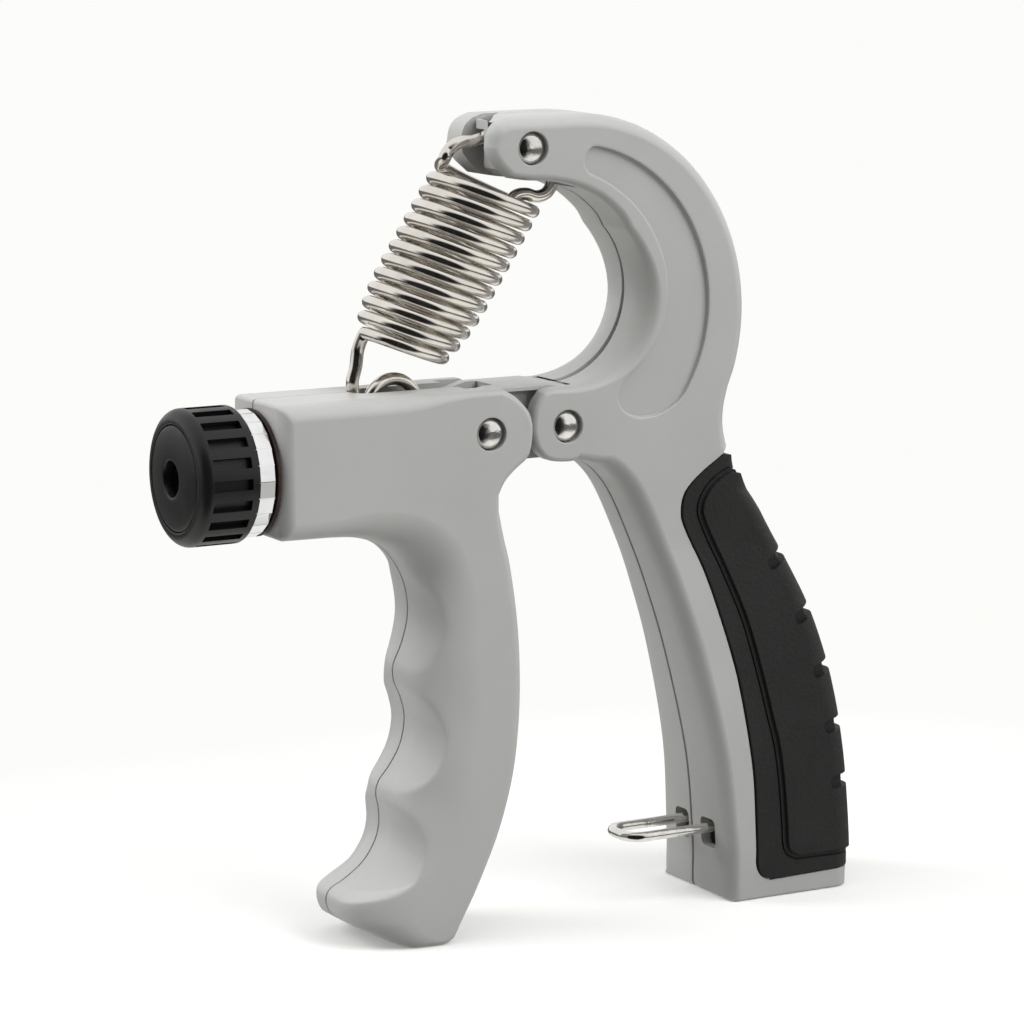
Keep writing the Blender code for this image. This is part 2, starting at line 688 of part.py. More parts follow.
def rubber_section(border, pad, back, lift, sink, spread):
    """One C-shaped section, its outer skin lifted by lift and its inner one sunk by sink."""
    way = Vector(back) - Vector(border)
    length = max(way.length, 0.01)
    way = way / length
    corner = min(RUBBER_CORNER_R, length * 0.45)
    start = Vector(border) - way * spread
    bend = Vector(back) - way * corner
    pad_start = (Vector(pad) - Vector(border)).dot(way)
    pad_start = max(min(pad_start, length - corner - 0.8), 0.6)
    inner_corner = max(corner - RUBBER_THICK, 0.3)
    floor_at = length - min(sink, length / 2 + sink - RUBBER_THICK) - inner_corner
    floor_bend = Vector(border) + way * floor_at
    inner_mid = Vector(border) + way * min(pad_start, floor_at - 0.2)
    quarter = [math.pi / 2 * step / 3 for step in range(4)]
    halves = []
    for side in (REAR, NEAR):
        half = palm_half(*border, side)

        def spot(point, y):
            return (point.x, side * y, point.y)

        outer = [spot(start, half + lift), spot(Vector(border) + way * (pad_start - 0.5), half + lift)]
        outer.append(spot(Vector(border) + way * pad_start, half + lift + PAD_PROUD))
        for angle in quarter:
            reach = way * ((corner + PAD_PROUD + lift - RUBBER_PROUD) * math.sin(angle))
            outer.append(spot(bend + reach, half + lift + PAD_PROUD - corner * (1 - math.cos(angle))))
        inner = [spot(start, half - sink), spot(inner_mid, half - sink)]
        for angle in quarter:
            reach = way * (inner_corner * math.sin(angle))
            inner.append(spot(floor_bend + reach, half - sink - inner_corner * (1 - math.cos(angle))))
        halves.append((outer, inner))
    (far_outer, far_inner), (near_outer, near_inner) = halves
    return far_outer + near_outer[::-1] + near_inner + far_inner[::-1]


def rubber_solid(name, lift, sink, spread, material=None):
    rows = []
    for bx, bz, px, pz, kx, kz in RUBBER_BORDER:
        rows.append(rubber_section((bx, bz), (px, pz), (kx, kz), lift, sink, spread))
    if spread > 0:
        first = rubber_section((-12.7, 88.9), (-12.4, 88.4), (-11.6, 88.2), lift, sink, spread)
        lowest = ((-5.0, 3.8 - spread), (4.0, 7.6 - spread), (14.1, 4.2 - spread))
        last = rubber_section(*lowest, lift, sink, spread)
        rows = [first] + rows + [last]
    return loft(name, rows, material)


# Pieces of the palm handle

def make_palm_handle(grey, rubber):
    rim, flare = palm_rim()
    back_high, back_low, inner_low, inner_high = flare
    cap_pieces = [
        list(range(inner_high, len(rim))) + list(range(back_high + 1)),
        list(range(back_high, back_low + 1)) + list(range(inner_low, inner_high + 1)),
        list(range(back_low, inner_low + 1)),
    ]
    stations = palm_stations(rim, flare, EDGE_R)
    shells = []
    for name, side in (("palm_shell_near", NEAR), ("palm_shell_far", REAR)):
        shell = half_shell(name, stations, palm_half, side, grey, cap_pieces)
        cutters = [crescent(name + " crescent", side)]
        cutters += rivet_holes(name + " spring pin", SPRING_PIN, ARM_HALF, side)
        cutters += rivet_holes(name + " palm pivot", PALM_PIVOT, ARM_HALF, side)
        cutters.append(prism(name + " link room", link_outline(GAP), -CHEEK_INNER, CHEEK_INNER))
        cutters += nose_cutters()
        cutters += palm_hollows(side)
        cutters += bail_room()
        for i, centre in enumerate(PALM_SCREWS):
            cutters += screw_holes(f"{name} screw {i}", centre, palm_half(*centre))
        cutters.append(rubber_solid(name + " rubber seat", 6.0, RUBBER_THICK + GAP, GAP))
        shells.append(carve(shell, *cutters, solver="MANIFOLD"))
    grip = rubber_solid("palm_grip_rubber", RUBBER_PROUD, RUBBER_THICK, 0.0, rubber)
    carve(grip, pad_grooves())
    return shells + [grip]


def pad_grooves():
    """Five short grooves across the back of the pad."""
    points = []
    faces = []
    knots = [row[4:] for row in RUBBER_BORDER[4:13]]
    spine = curve(knots, 4)
    first_z = 64.6
    step_z = 11.3
    for k in range(PAD_GROOVES):
        wanted = first_z - step_z * k
        i = min(range(1, len(spine) - 1), key=lambda n: abs(spine[n][1] - wanted))
        here = Vector(spine[i])
        along = (Vector(spine[i + 1]) - Vector(spine[i - 1])).normalized()
        out = Vector((-along.y, along.x))
        if out.x < 0:
            out = -out
        start = len(points)
        surface = RUBBER_PROUD + PAD_PROUD
        for y in (1.0 - palm_half(0, wanted, NEAR), palm_half(0, wanted, REAR) - 1.0):
            floor = surface - PAD_GROOVE_DEPTH
            for a, o in ((-1, floor), (1, floor), (1, 4.0), (-1, 4.0)):
                spot = here + along * (a * PAD_GROOVE_HALF) + out * o
                points.append((spot.x, y, spot.y))
        faces += [tuple(start + i for i in face) for face in
                  ((0, 1, 2, 3), (4, 5, 6, 7), (0, 1, 5, 4), (1, 2, 6, 5), (2, 3, 7, 6), (3, 0, 4, 7))]
    return fill_mesh(new_object("pad grooves"), points, faces, 0)


def make_link(grey):
    link = prism("link", link_outline(), -LINK_HALF, LINK_HALF, grey)
    fork = box("link fork", (-90, -SLOT_HALF, 70), (FINGER_PIVOT_X + 4.4, SLOT_HALF, 120))
    finger_bore = bore("link finger bore", FINGER_PIVOT, RIVET_R + GAP)
    return carve(link, fork, finger_bore, bore("link palm bore", PALM_PIVOT, RIVET_R + GAP))


def make_hanger(grey):
    low = -ARM_HALF + HANGER_CHEEK + GAP
    hanger = prism("spring_hanger", nose_outline(-GAP), low, -NOSE_SLOT_HALF, grey)
    return carve(hanger, bore("hanger bore", SPRING_PIN, RIVET_R + GAP))


def rivet_head(half):
    seat = half - RIVET_RECESS + GAP
    head = [(seat, RIVET_R)]
    for angle in (math.radians(d) for d in (0, 35, 65)):
        head.append((seat + RIVET_HEAD_RISE * math.sin(angle), RIVET_HEAD_R * math.cos(angle)))
    return head + [(seat + RIVET_HEAD_RISE, 0)]


def make_rivet(name, centre, near_half, far_half, steel):
    right = rivet_head(far_half)
    left = [(-along, radius) for along, radius in reversed(rivet_head(near_half))]
    return turned(name, left + right, "Y", (centre[0], 0.0, centre[1]), steel, 20)


def make_self_tapper(name, centre, half, steel):
    seat = screw_seat(centre, half) + GAP
    profile = [
        (seat - SELF_TAPPER_LENGTH, 0), (seat - SELF_TAPPER_LENGTH, 0.5),
        (seat - SELF_TAPPER_LENGTH + 1.6, SELF_TAPPER_R), (seat, SELF_TAPPER_R),
        (seat, SELF_TAPPER_HEAD_R), (seat + 0.9, SELF_TAPPER_HEAD_R),
        (seat + SELF_TAPPER_HEAD, SELF_TAPPER_HEAD_R * 0.55), (seat + SELF_TAPPER_HEAD, 0),
    ]
    return turned(name, profile, "Y", (centre[0], 0.0, centre[1]), steel, 16)


def make_bail(steel):
    tip_x = INNER_FACE_X - BAIL_REACH
    bend = 1.6
    middle = (BAIL_LEG_NEAR + BAIL_LEG_FAR) / 2
    halves = []
    for leg_y, stub_y in ((BAIL_LEG_FAR, FOOT_HALF_FAR - BAIL_BORE_WALL - GAP),
                          (BAIL_LEG_NEAR, -FOOT_HALF_NEAR + BAIL_BORE_WALL + GAP)):
        out = 1 if leg_y > middle else -1
        half = [(BAIL_PIVOT_X, stub_y), (BAIL_PIVOT_X, leg_y + out * bend)]
        for a in (math.radians(30), math.radians(60)):
            half.append((BAIL_PIVOT_X - bend * (1 - math.cos(a)), leg_y + out * bend * (1 - math.sin(a))))
        half += [(BAIL_PIVOT_X - bend, leg_y), (tip_x + BAIL_CORNER_R, leg_y)]
        for a in (math.radians(25), math.radians(50), math.radians(75)):
            round_y = leg_y - out * BAIL_CORNER_R * (1 - math.cos(a))
            half.append((tip_x + BAIL_CORNER_R * (1 - math.sin(a)), round_y))
        halves.append(half)
    path = halves[0] + [(tip_x, middle)] + list(reversed(halves[1]))
    return wire("locking_bail", [(x, y, BAIL_Z) for x, y in path], BAIL_WIRE_R, steel, 2)


# The spring: one wire from the upper hook, down the coil, to the hook round the nut's pin

UPPER_HOOK = [
    # x and z from the spring pin, from the wire's end to where the coil begins
    (2.4, -7.8), (3.9, -8.9), (6.2, -9.6), (8.2, -8.8), (9.2, -6.6), (9.0, -3.6), (7.4, -0.4),
    (4.2, 2.4), (0.4, 3.6), (-2.9, 3.4), (-5.6, 1.9), (-8.2, 0.9), (-11.0, 0.9),
    (-12.8, 0.1), (-13.6, -1.6),
]


def spring_path():
    top = Vector((SPRING_PIN_X - COIL_TOP_BACK, 0.0, SPRING_PIN_Z - COIL_TOP_DOWN))
    foot = Vector((HOOK_X + COIL_FOOT_OUT, 0.0, HOOK_Z + COIL_FOOT_UP))
    turns = round((foot - top).length / (2 * WIRE_R + COIL_GAP))
    side = Vector((math.cos(CURL_LEAN), 0.0, -math.sin(CURL_LEAN)))
    back = Vector((0.0, 1.0, 0.0))
    points = [Vector((x, 0.0, z)) for x, z in curve(about(SPRING_PIN, UPPER_HOOK), 2)]
    steps = turns * POINTS_PER_CURL
    for i in range(1, steps + 1):
        turn = i / POINTS_PER_CURL
        angle = math.pi - 2 * math.pi * turn
        late = min(max((turn - turns + 4.5) / 4.5, 0.0), 1.0)
        radius = COIL_R + (COIL_LAST_R - COIL_R) * late**2
        centre = top.lerp(foot, turn / turns)
        points.append(centre + side * (radius * math.cos(angle)) + back * (radius * math.sin(angle)))
    coil_end = points[-1]
    hook = Vector((HOOK_X, 0.0, HOOK_Z))
    ring = []
    for i in range(27):
        angle = math.radians(180 + 390 * i / 26)
        y = HOOK_SIDE_STEP * (1 - 2 * i / 26)
        ring.append(hook + Vector((HOOK_R * math.cos(angle), y, HOOK_R * math.sin(angle))))
    slack = [(-0.6, 1.5, 0.78), (-1.0, 1.6, 0.55), (-1.7, 1.6, 0.35), (-1.2, 1.6, 0.15)]
    leg = []
    for out, y, share in slack:
        along = ring[0].lerp(coil_end, share)
        leg.append(Vector((along.x + out, y, along.z)))
    return points + leg + ring


def least_gap(points, radius, reach):
    """The least gap between stretches of the wire that are further apart along it than reach."""
    along = [0.0]
    for a, b in zip(points, points[1:]):
        along.append(along[-1] + (b - a).length)
    least = 1e9
    for i, a in enumerate(points):
        for j in range(i + 1, len(points)):
            if along[j] - along[i] > reach:
                least = min(least, (points[j] - a).length - 2 * radius)
    return least


def make_spring(steel):
    points = spring_path()
    print("spring: least gap to itself", round(least_gap(points, WIRE_R, 4 * COIL_R), 3), "mm")
    return wire("spring", [tuple(p) for p in points], WIRE_R, steel, 1)


# Pieces of the finger handle

def finger_hollows(side):
    hollows = []
    edge_y = PART_Y - side * 2
    for name, outline in (
        ("grip hollow", [(-73.8, 70.0), (-66.0, 72.5), (-64.2, 66.0), (-62.6, 54.0), (-62.6, 41.0),
                         (-72.8, 41.0), (-73.0, 50.0), (-73.2, 60.0)]),
        ("toe hollow", [(-73.6, 27.0), (-65.4, 27.0), (-67.0, 20.5), (-71.4, 11.5), (-75.5, 7.0),
                        (-80.0, 8.6), (-78.8, 14.0), (-75.4, 20.0)]),
    ):
        half = LUG_HALF_FAR if side == REAR else LUG_HALF_NEAR
        low, high = sorted((edge_y, side * (half - WALL)))
        hollows.append(prism(name, outline, low, high))
    return hollows


def make_finger_handle(grey):
    stations = finger_stations()
    shells = []
    chamber_low_x = BARREL_END_X + BARREL_END_WALL
    chamber_high_z = BARREL_TOP_Z - CHAMBER_TOP_WALL
    for name, side in (("finger_shell_near", NEAR), ("finger_shell_far", REAR)):
        shell = half_shell(name, stations, finger_half, side, grey)
        cutters = rivet_holes(name + " pivot", FINGER_PIVOT, finger_half(*FINGER_PIVOT, side), side)
        cutters.append(box(name + " chamber", (chamber_low_x, -CHAMBER_HALF, CHAMBER_FLOOR_Z),
                           (FINGER_PIVOT_X - 6.0, CHAMBER_HALF, chamber_high_z)))
        cutters.append(box(name + " slot", (SLOT_END_X, -SLOT_HALF, PIVOT_Z), (-50, SLOT_HALF, 120)))
        room = arc(FINGER_PIVOT, LINK_RISE + 0.8, 90, 270, 20)
        room += [(FINGER_PIVOT_X + 3.0, 84.5), (-40, 84.5), (-40, 120), (FINGER_PIVOT_X, 120)]
        cutters.append(prism(name + " link room", room, -CHEEK_INNER, CHEEK_INNER))
        seat_ends = (BARREL_END_X - 5, chamber_low_x + 1)
        cutters.append(rod(name + " bush seat", "X", (0, 0, SCREW_Z), BUSH_R + GAP, *seat_ends))
        cutters += finger_hollows(side)
        for i, centre in enumerate(FINGER_SCREWS):
            cutters += screw_holes(f"{name} screw {i}", centre, finger_half(*centre, REAR))
        shells.append(carve(shell, *cutters, solver="MANIFOLD"))
    return shells


def make_bush(nylon):
    start = BARREL_END_X + GAP
    wall_in = BARREL_END_X + BARREL_END_WALL
    profile = [
        (start, SCREW_R + RUNNING_GAP), (start, BUSH_R),
        (wall_in + GAP, BUSH_R), (wall_in + GAP, BUSH_FLANGE_R),
        (wall_in + GAP + BUSH_FLANGE, BUSH_FLANGE_R), (wall_in + GAP + BUSH_FLANGE, SCREW_R + RUNNING_GAP),
    ]
    return turned("barrel_bush", profile, "X", (0, 0, SCREW_Z), nylon, 32, hollow=True)


CLIP_X = BARREL_END_X + BARREL_END_WALL + 2 * GAP + BUSH_FLANGE


def make_clip(steel):
    inside = CLIP_GROOVE_R + GAP
    outer_x = CLIP_X + CLIP_THICK
    profile = [(CLIP_X, inside), (CLIP_X, CLIP_R), (outer_x, CLIP_R), (outer_x, inside)]
    return turned("screw_retaining_ring", profile, "X", (0, 0, SCREW_Z), steel, 28, hollow=True)


def make_adjusting_screw(steel):
    head_x = KNOB_FRONT_X + CAP_THICK + 4.2
    groove = (CLIP_X - GAP, CLIP_X + CLIP_THICK + GAP)
    profile = [
        (head_x, 0), (head_x, SCREW_R - 0.4), (head_x + 0.5, SCREW_R),
        (groove[0], SCREW_R), (groove[0], CLIP_GROOVE_R), (groove[1], CLIP_GROOVE_R), (groove[1], SCREW_R),
        (SCREW_TIP_X - 0.8, SCREW_R), (SCREW_TIP_X, SCREW_R - 0.7), (SCREW_TIP_X, 0),
    ]
    return turned("adjusting_screw", profile, "X", (0, 0, SCREW_Z), steel, 28)


def make_washer(material):
    high = BARREL_END_X - GAP
    low = high - WASHER_THICK
    inside = SCREW_R + RUNNING_GAP
    profile = [(low, inside), (low, WASHER_R), (high, WASHER_R), (high, inside)]
    return turned("thrust_washer", profile, "X", (0, 0, SCREW_Z), material, 40, hollow=True)


def make_collar(steel):
    low = KNOB_BACK_X + GAP
    high = low + COLLAR_LENGTH
    inside = SCREW_R + GAP
    profile = [(low, inside), (low, COLLAR_R), (high - 0.3, COLLAR_R), (high, COLLAR_R - 0.3), (high, inside)]
    return turned("knob_collar", profile, "X", (0, 0, SCREW_Z), steel, 48, hollow=True)


def make_knob(black):
    front = KNOB_FRONT_X
    back = KNOB_BACK_X
    seat_r = KNOB_FACE_R + GAP
    profile = [
        (back, SCREW_R + GAP), (back, KNOB_R - 0.5), (back - 0.5, KNOB_R), (front + 2.0, KNOB_R),
        (front + 0.9, KNOB_R - 0.6), (front + 0.2, KNOB_R - 1.6), (front, KNOB_R - 2.4), (front, seat_r),
        (front + CAP_THICK, seat_r), (front + CAP_THICK, SCREW_R + GAP),
    ]
    knob = turned("knob", profile, "X", (0, 0, SCREW_Z), black, 60, hollow=True)
    points = []
    faces = []
    low_x = front + 1.9
    high_x = back - 1.3
    for k in range(KNOB_FLUTES):
        turn = Matrix.Rotation(2 * math.pi * (k + 0.5) / KNOB_FLUTES, 4, "X")
        start = len(points)
        for x in (low_x, high_x):
            for y, z in ((-1, 0), (1, 0), (1, 1), (-1, 1)):
                radius = KNOB_R - FLUTE_DEPTH + z * 3
                spot = turn @ Vector((x, y * FLUTE_WIDTH / 2, radius))
                points.append((spot.x, spot.y, spot.z + SCREW_Z))
        faces += [tuple(start + i for i in face) for face in
                  ((0, 1, 2, 3), (4, 5, 6, 7), (0, 1, 5, 4), (1, 2, 6, 5), (2, 3, 7, 6), (3, 0, 4, 7))]
    flutes = fill_mesh(new_object("knob flutes"), points, faces, 0)
    return carve(knob, flutes)


def make_cap(black):
    front = KNOB_FRONT_X
    profile = [
        (front + CAP_THICK - GAP, KNOB_HOLE_R), (front + CAP_THICK - GAP, KNOB_FACE_R),
        (front, KNOB_FACE_R), (front - 0.4, KNOB_FACE_R * 0.7), (front - 0.6, KNOB_HOLE_R + 0.4),
        (front - 0.3, KNOB_HOLE_R),
    ]
    return turned("knob_cap", profile, "X", (0, 0, SCREW_Z), black, 48, hollow=True)


def make_nut(brass):
    low_x = HOOK_X + NUT_EAR_WIDTH / 2 - NUT_LENGTH
    high_x = HOOK_X + NUT_EAR_WIDTH / 2
    body_top = SCREW_Z + SCREW_R - 0.8
    ear_top = NUT_PIN_Z + NUT_PIN_R + NUT_EAR_WALL
    body = box("travelling_nut", (low_x, -NUT_HALF, SCREW_Z - NUT_DROP), (high_x, NUT_HALF, ear_top), brass)
    over = ear_top + 5
    way = box("nut hook way", (low_x - 5, -NUT_EAR_INNER, body_top), (high_x + 5, NUT_EAR_INNER, over))
    ear_back_x = HOOK_X - NUT_EAR_WIDTH / 2
    behind = box("nut step", (low_x - 5, -NUT_HALF - 5, body_top + 0.6), (ear_back_x, NUT_HALF + 5, over))
    thread = rod("nut thread", "X", (0, 0, SCREW_Z), SCREW_R + GAP, low_x - 5, high_x + 5)
    pin = bore("nut pin bore", (HOOK_X, NUT_PIN_Z), NUT_PIN_R + GAP, sides=24)
    return carve(body, way, behind, thread, pin)


def make_nut_pin(steel):
    return rod("nut_pin", "Y", (HOOK_X, 0, NUT_PIN_Z), NUT_PIN_R, -NUT_HALF, NUT_HALF, steel, 24)


# Joints: empties that the moving pieces hang from

def joint_empty(name, place, parent=None):
    empty = bpy.data.objects.new(name, None)
    empty.location = Vector(place) * MM
    bpy.context.collection.objects.link(empty)
    if parent:
        bpy.context.view_layer.update()
        empty.parent = parent
        empty.matrix_parent_inverse = parent.matrix_world.inverted()
    return empty


def hang(empty, *things):
    bpy.context.view_layer.update()
    for thing in things:
        thing.parent = empty
        thing.matrix_parent_inverse = empty.matrix_world.inverted()


def main():
    clear_scene()
    grey = make_material("grey plastic", GREY, 0.45)
    black = make_material("black plastic", BLACK, 0.4)
    rubber = make_material("black rubber", RUBBER, 0.6)
    steel = make_material("plated steel", STEEL, 0.18, 1.0)
    brass = make_material("brass", BRASS, 0.3, 1.0)
    nylon = make_material("nylon", NYLON, 0.5)

    make_palm_handle(grey, rubber)
    make_link(grey)
    make_hanger(grey)
    make_rivet("spring_pin_rivet", SPRING_PIN, ARM_HALF, ARM_HALF, steel)
    make_rivet("palm_pivot_rivet", PALM_PIVOT, ARM_HALF, ARM_HALF, steel)
    for i, centre in enumerate(PALM_SCREWS):
        make_self_tapper(f"palm_screw_{i + 1}", centre, palm_half(*centre), steel)
    make_spring(steel)

    finger_pivot = joint_empty("finger_pivot", (FINGER_PIVOT_X, 0, PIVOT_Z))
    finger = make_finger_handle(grey)
    halves = [finger_half(*FINGER_PIVOT, side) for side in (NEAR, REAR)]
    finger.append(make_rivet("finger_pivot_rivet", FINGER_PIVOT, *halves, steel))
    for i, centre in enumerate(FINGER_SCREWS):
        finger.append(make_self_tapper(f"finger_screw_{i + 1}", centre, finger_half(*centre, REAR), steel))
    finger.append(make_bush(nylon))
    finger.append(make_washer(black))
    hang(finger_pivot, *finger)

    knob_axis = joint_empty("knob_axis", (KNOB_BACK_X, 0, SCREW_Z), finger_pivot)
    hang(knob_axis, make_knob(black), make_cap(black), make_collar(steel))
    hang(knob_axis, make_adjusting_screw(steel), make_clip(steel))

    nut_way = joint_empty("nut_way", (HOOK_X, 0, SCREW_Z), finger_pivot)
    hang(nut_way, make_nut(brass), make_nut_pin(steel))

    bail_pivot = joint_empty("bail_pivot", (BAIL_PIVOT_X, 0, BAIL_Z))
    hang(bail_pivot, make_bail(steel))


main()
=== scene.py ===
"""Adjustable hand gripper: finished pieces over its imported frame, and the stage it stands on.

Shape functions work in millimetres, X from the knob to the palm handle, Y across, Z up.
They become metres where a mesh is made.
"""

import bisect
import json
import math

import bmesh
import bpy
from bpy.props import FloatProperty, FloatVectorProperty, IntProperty, PointerProperty
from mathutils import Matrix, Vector

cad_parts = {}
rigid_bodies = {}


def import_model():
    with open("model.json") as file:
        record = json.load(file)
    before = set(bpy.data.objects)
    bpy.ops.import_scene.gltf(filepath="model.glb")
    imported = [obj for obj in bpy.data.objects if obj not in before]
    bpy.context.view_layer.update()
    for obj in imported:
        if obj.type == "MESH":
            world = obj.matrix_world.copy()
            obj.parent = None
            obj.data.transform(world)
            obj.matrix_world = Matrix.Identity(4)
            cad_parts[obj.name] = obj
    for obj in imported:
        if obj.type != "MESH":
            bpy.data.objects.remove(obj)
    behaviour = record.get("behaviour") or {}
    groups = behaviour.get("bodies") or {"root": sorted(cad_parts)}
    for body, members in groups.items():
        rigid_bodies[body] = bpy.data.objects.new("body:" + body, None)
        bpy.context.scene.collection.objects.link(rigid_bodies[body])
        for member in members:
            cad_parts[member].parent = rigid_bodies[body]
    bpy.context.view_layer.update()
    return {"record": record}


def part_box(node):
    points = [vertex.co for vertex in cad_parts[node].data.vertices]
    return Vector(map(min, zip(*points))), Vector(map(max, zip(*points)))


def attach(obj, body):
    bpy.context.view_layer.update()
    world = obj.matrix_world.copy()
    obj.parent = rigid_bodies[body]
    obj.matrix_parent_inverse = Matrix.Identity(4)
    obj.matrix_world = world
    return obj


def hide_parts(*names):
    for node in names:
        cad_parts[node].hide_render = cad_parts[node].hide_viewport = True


bl_info = {
    "name": "Hand Gripper",
    "version": (1, 0, 0),
    "blender": (4, 5, 0),
    "location": "3D View > Sidebar > Gripper",
    "description": "Builds the finished pieces of an adjustable hand gripper and its stage",
    "category": "Add Mesh",
}

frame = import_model()

MM = 0.001
NEAR = -1
FAR = 1


def middle(node):
    """A node's middle at rest, in millimetres."""
    low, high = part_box(node)
    return (Vector(low) + Vector(high)) / 2 / MM


def corner(node, which):
    """A node's lowest (0) or highest (1) corner at rest, in millimetres."""
    return Vector(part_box(node)[which]) / MM


# Places taken from the frame

FINGER_PIVOT, PALM_PIVOT, SPRING_PIN, NUT_PIN = (
    (middle(node).x, middle(node).z)
    for node in ("finger_pivot_rivet", "palm_pivot_rivet", "spring_pin_rivet", "nut_pin")
)
SCREW_Z = middle("adjusting_screw").z
ARM_TOP_Z = corner("palm_shell_near", 1).z
BARREL_TOP_Z = corner("finger_shell_near", 1).z
BARREL_END_X = corner("finger_shell_near", 0).x

# Sizes that the shells share with what they hold

CLEARANCE = 0.3
PART_Y = 0.6
JOIN_GAP = 0.3
PALM_JOIN_GAP = 0.56
ARM_HALF = 9.3
FOOT_HALF = {NEAR: 13.9, FAR: 12.4}
FLARE_Z = (10.0, 70.0)
FOOT_INNER_X = -14.4
FOOT_FACE_X = 9.8
SOLE_EDGE = 0.5
CORNER_R = 4.2
LUG_HALF = {NEAR: 10.6, FAR: 9.8}
BARREL_SPREAD = {NEAR: 0.032, FAR: 0.012}
GRIP_SPREAD = 0.02
CHEEK_INNER = 6.3
BARREL_BOTTOM_Z = 78.7
ARM_CENTRE = (PALM_PIVOT[0] + 2.8, PALM_PIVOT[1] + 19.9)
THROAT = (ARM_CENTRE[0] - 2.5, PALM_PIVOT[1] + 24.6)
THROAT_R = 17.2
ARM_OUTER_R = 36.5
ARM_OUTER_RISE = 38.2
RIVET_R = 1.8
RIVET_HOLE_R = RIVET_R + CLEARANCE
HEAD_R = 2.85
HEAD_BASE = 1.18
SEAT_R = 3.12
SEAT_DEPTH = 2.2
THROAT_GAP = 1.9
OUTSIDE = 30.0


# Numbers and outlines in the XZ plane

def quarter(steps, whole=True):
    """Sine and cosine of evenly spaced angles over a quarter turn, with or without its end."""
    angles = [math.pi / 2 * i / steps for i in range(steps + whole)]
    return [(math.sin(angle), math.cos(angle)) for angle in angles]


def arc(centre, radius, start, end, steps, rise=None):
    """Points from one angle to another, on an ellipse where a rise is given."""
    points = []
    for i in range(steps + 1):
        angle = math.radians(start + (end - start) * i / steps)
        points.append((centre[0] + radius * math.cos(angle), centre[1] + (rise or radius) * math.sin(angle)))
    return points


def about(centre, offsets):
    return [(centre[0] + x, centre[1] + z) for x, z in offsets]


def curve(knots, steps):
    """A smooth open curve through knots of any dimension."""
    points = []
    last = len(knots) - 1
    for i in range(last):
        stretch = (knots[max(i - 1, 0)], knots[i], knots[i + 1], knots[min(i + 2, last)])
        for step in range(steps):
            t = step / steps
            points.append(tuple(
                (2 * t**3 - 3 * t**2 + 1) * b + (t**3 - 2 * t**2 + t) * (c - a) / 2
                + (3 * t**2 - 2 * t**3) * c + (t**3 - t**2) * (d - b) / 2
                for a, b, c, d in zip(*stretch)
            ))
    points.append(tuple(knots[-1]))
    return points


def ramp(value, start, end, low, high):
    """Goes softly from low at the start to high at the end."""
    share = min(max((value - start) / (end - start), 0.0), 1.0)
    return low + (high - low) * share * share * (3 - 2 * share)


def eased(values, passes):
    """A closed row of numbers smoothed by its neighbours."""
    count = len(values)
    for _ in range(passes):
        values = [(values[i - 1] + 2 * values[i] + values[(i + 1) % count]) / 4 for i in range(count)]
    return values


def inward(rim):
    """Unit vectors that point into a closed outline, one at each point."""
    following = rim[1:] + rim[:1]
    area = 0.0
    for here, after in zip(rim, following):
        area += here[0] * after[1] - after[0] * here[1]
    turn = 1 if area > 0 else -1
    normals = []
    for i, after in enumerate(following):
        here = Vector(rim[i][:2])
        along = (here - Vector(rim[i - 1][:2])).normalized() + (Vector(after[:2]) - here).normalized()
        along.normalize()
        normals.append(Vector((-along.y, along.x)) * turn)
    return normals


def inset(rim, distance):
    return [(x + n.x * distance, z + n.y * distance) for (x, z), n in zip(rim, inward(rim))]


def ways_along(path):
    """Unit vectors along an open path, one at each point."""
    ways = []
    for i in range(len(path)):
        before, after = path[max(i - 1, 0)], path[min(i + 1, len(path) - 1)]
        ways.append(Vector((after[0] - before[0], after[1] - before[1])).normalized())
    return ways


# Meshes

def new_object(name, data):
    thing = bpy.data.objects.new(name, data)
    bpy.context.collection.objects.link(thing)
    return thing


def mesh_object(name, points, faces, material=None):
    built = bmesh.new()
    verts = [built.verts.new((x * MM, y * MM, z * MM)) for x, y, z in points]
    for face in faces:
        built.faces.new([verts[i] for i in face])
    bmesh.ops.recalc_face_normals(built, faces=built.faces)
    mesh = bpy.data.meshes.new(name)
    built.to_mesh(mesh)
    built.free()
    if material:
        mesh.materials.append(material)
    return new_object(name, mesh)


def loft(name, rows, material=None, cap_pieces=None):
    """A closed solid through rings of points, with flat ends."""
    count = len(rows[0])
    points = [point for row in rows for point in row]
    faces = []
    for r in range(len(rows) - 1):
        for i in range(count):
            j = (i + 1) % count
            faces.append((r * count + i, r * count + j, (r + 1) * count + j, (r + 1) * count + i))
    faces.append(tuple(range(count)))
    last = (len(rows) - 1) * count
    for piece in cap_pieces or [range(count)]:
        faces.append(tuple(last + i for i in piece))
    return mesh_object(name, points, faces, material)


def slab(name, outline, low_y, high_y, edge=0.0, material=None):
    """An outline given thickness along Y, its edges rounded."""
    lower = []
    upper = []
    for sine, cosine in quarter(3) if edge else [(1.0, 1.0)]:
        ring = inset(outline, edge * (1 - sine))
        out = edge * (1 - cosine)
        lower.append([(x, low_y + out, z) for x, z in ring])
        upper.insert(0, [(x, high_y - out, z) for x, z in ring])
    return loft(name, lower + upper, material)


def column(name, plan, low_z, high_z):
    """A plan in X and Y given height."""
    return loft(name, [[(x, y, z) for x, y in plan] for z in (low_z, high_z)])


def box(name, low, high):
    outline = [(low[0], low[2]), (high[0], low[2]), (high[0], high[2]), (low[0], high[2])]
    return slab(name, outline, low[1], high[1])


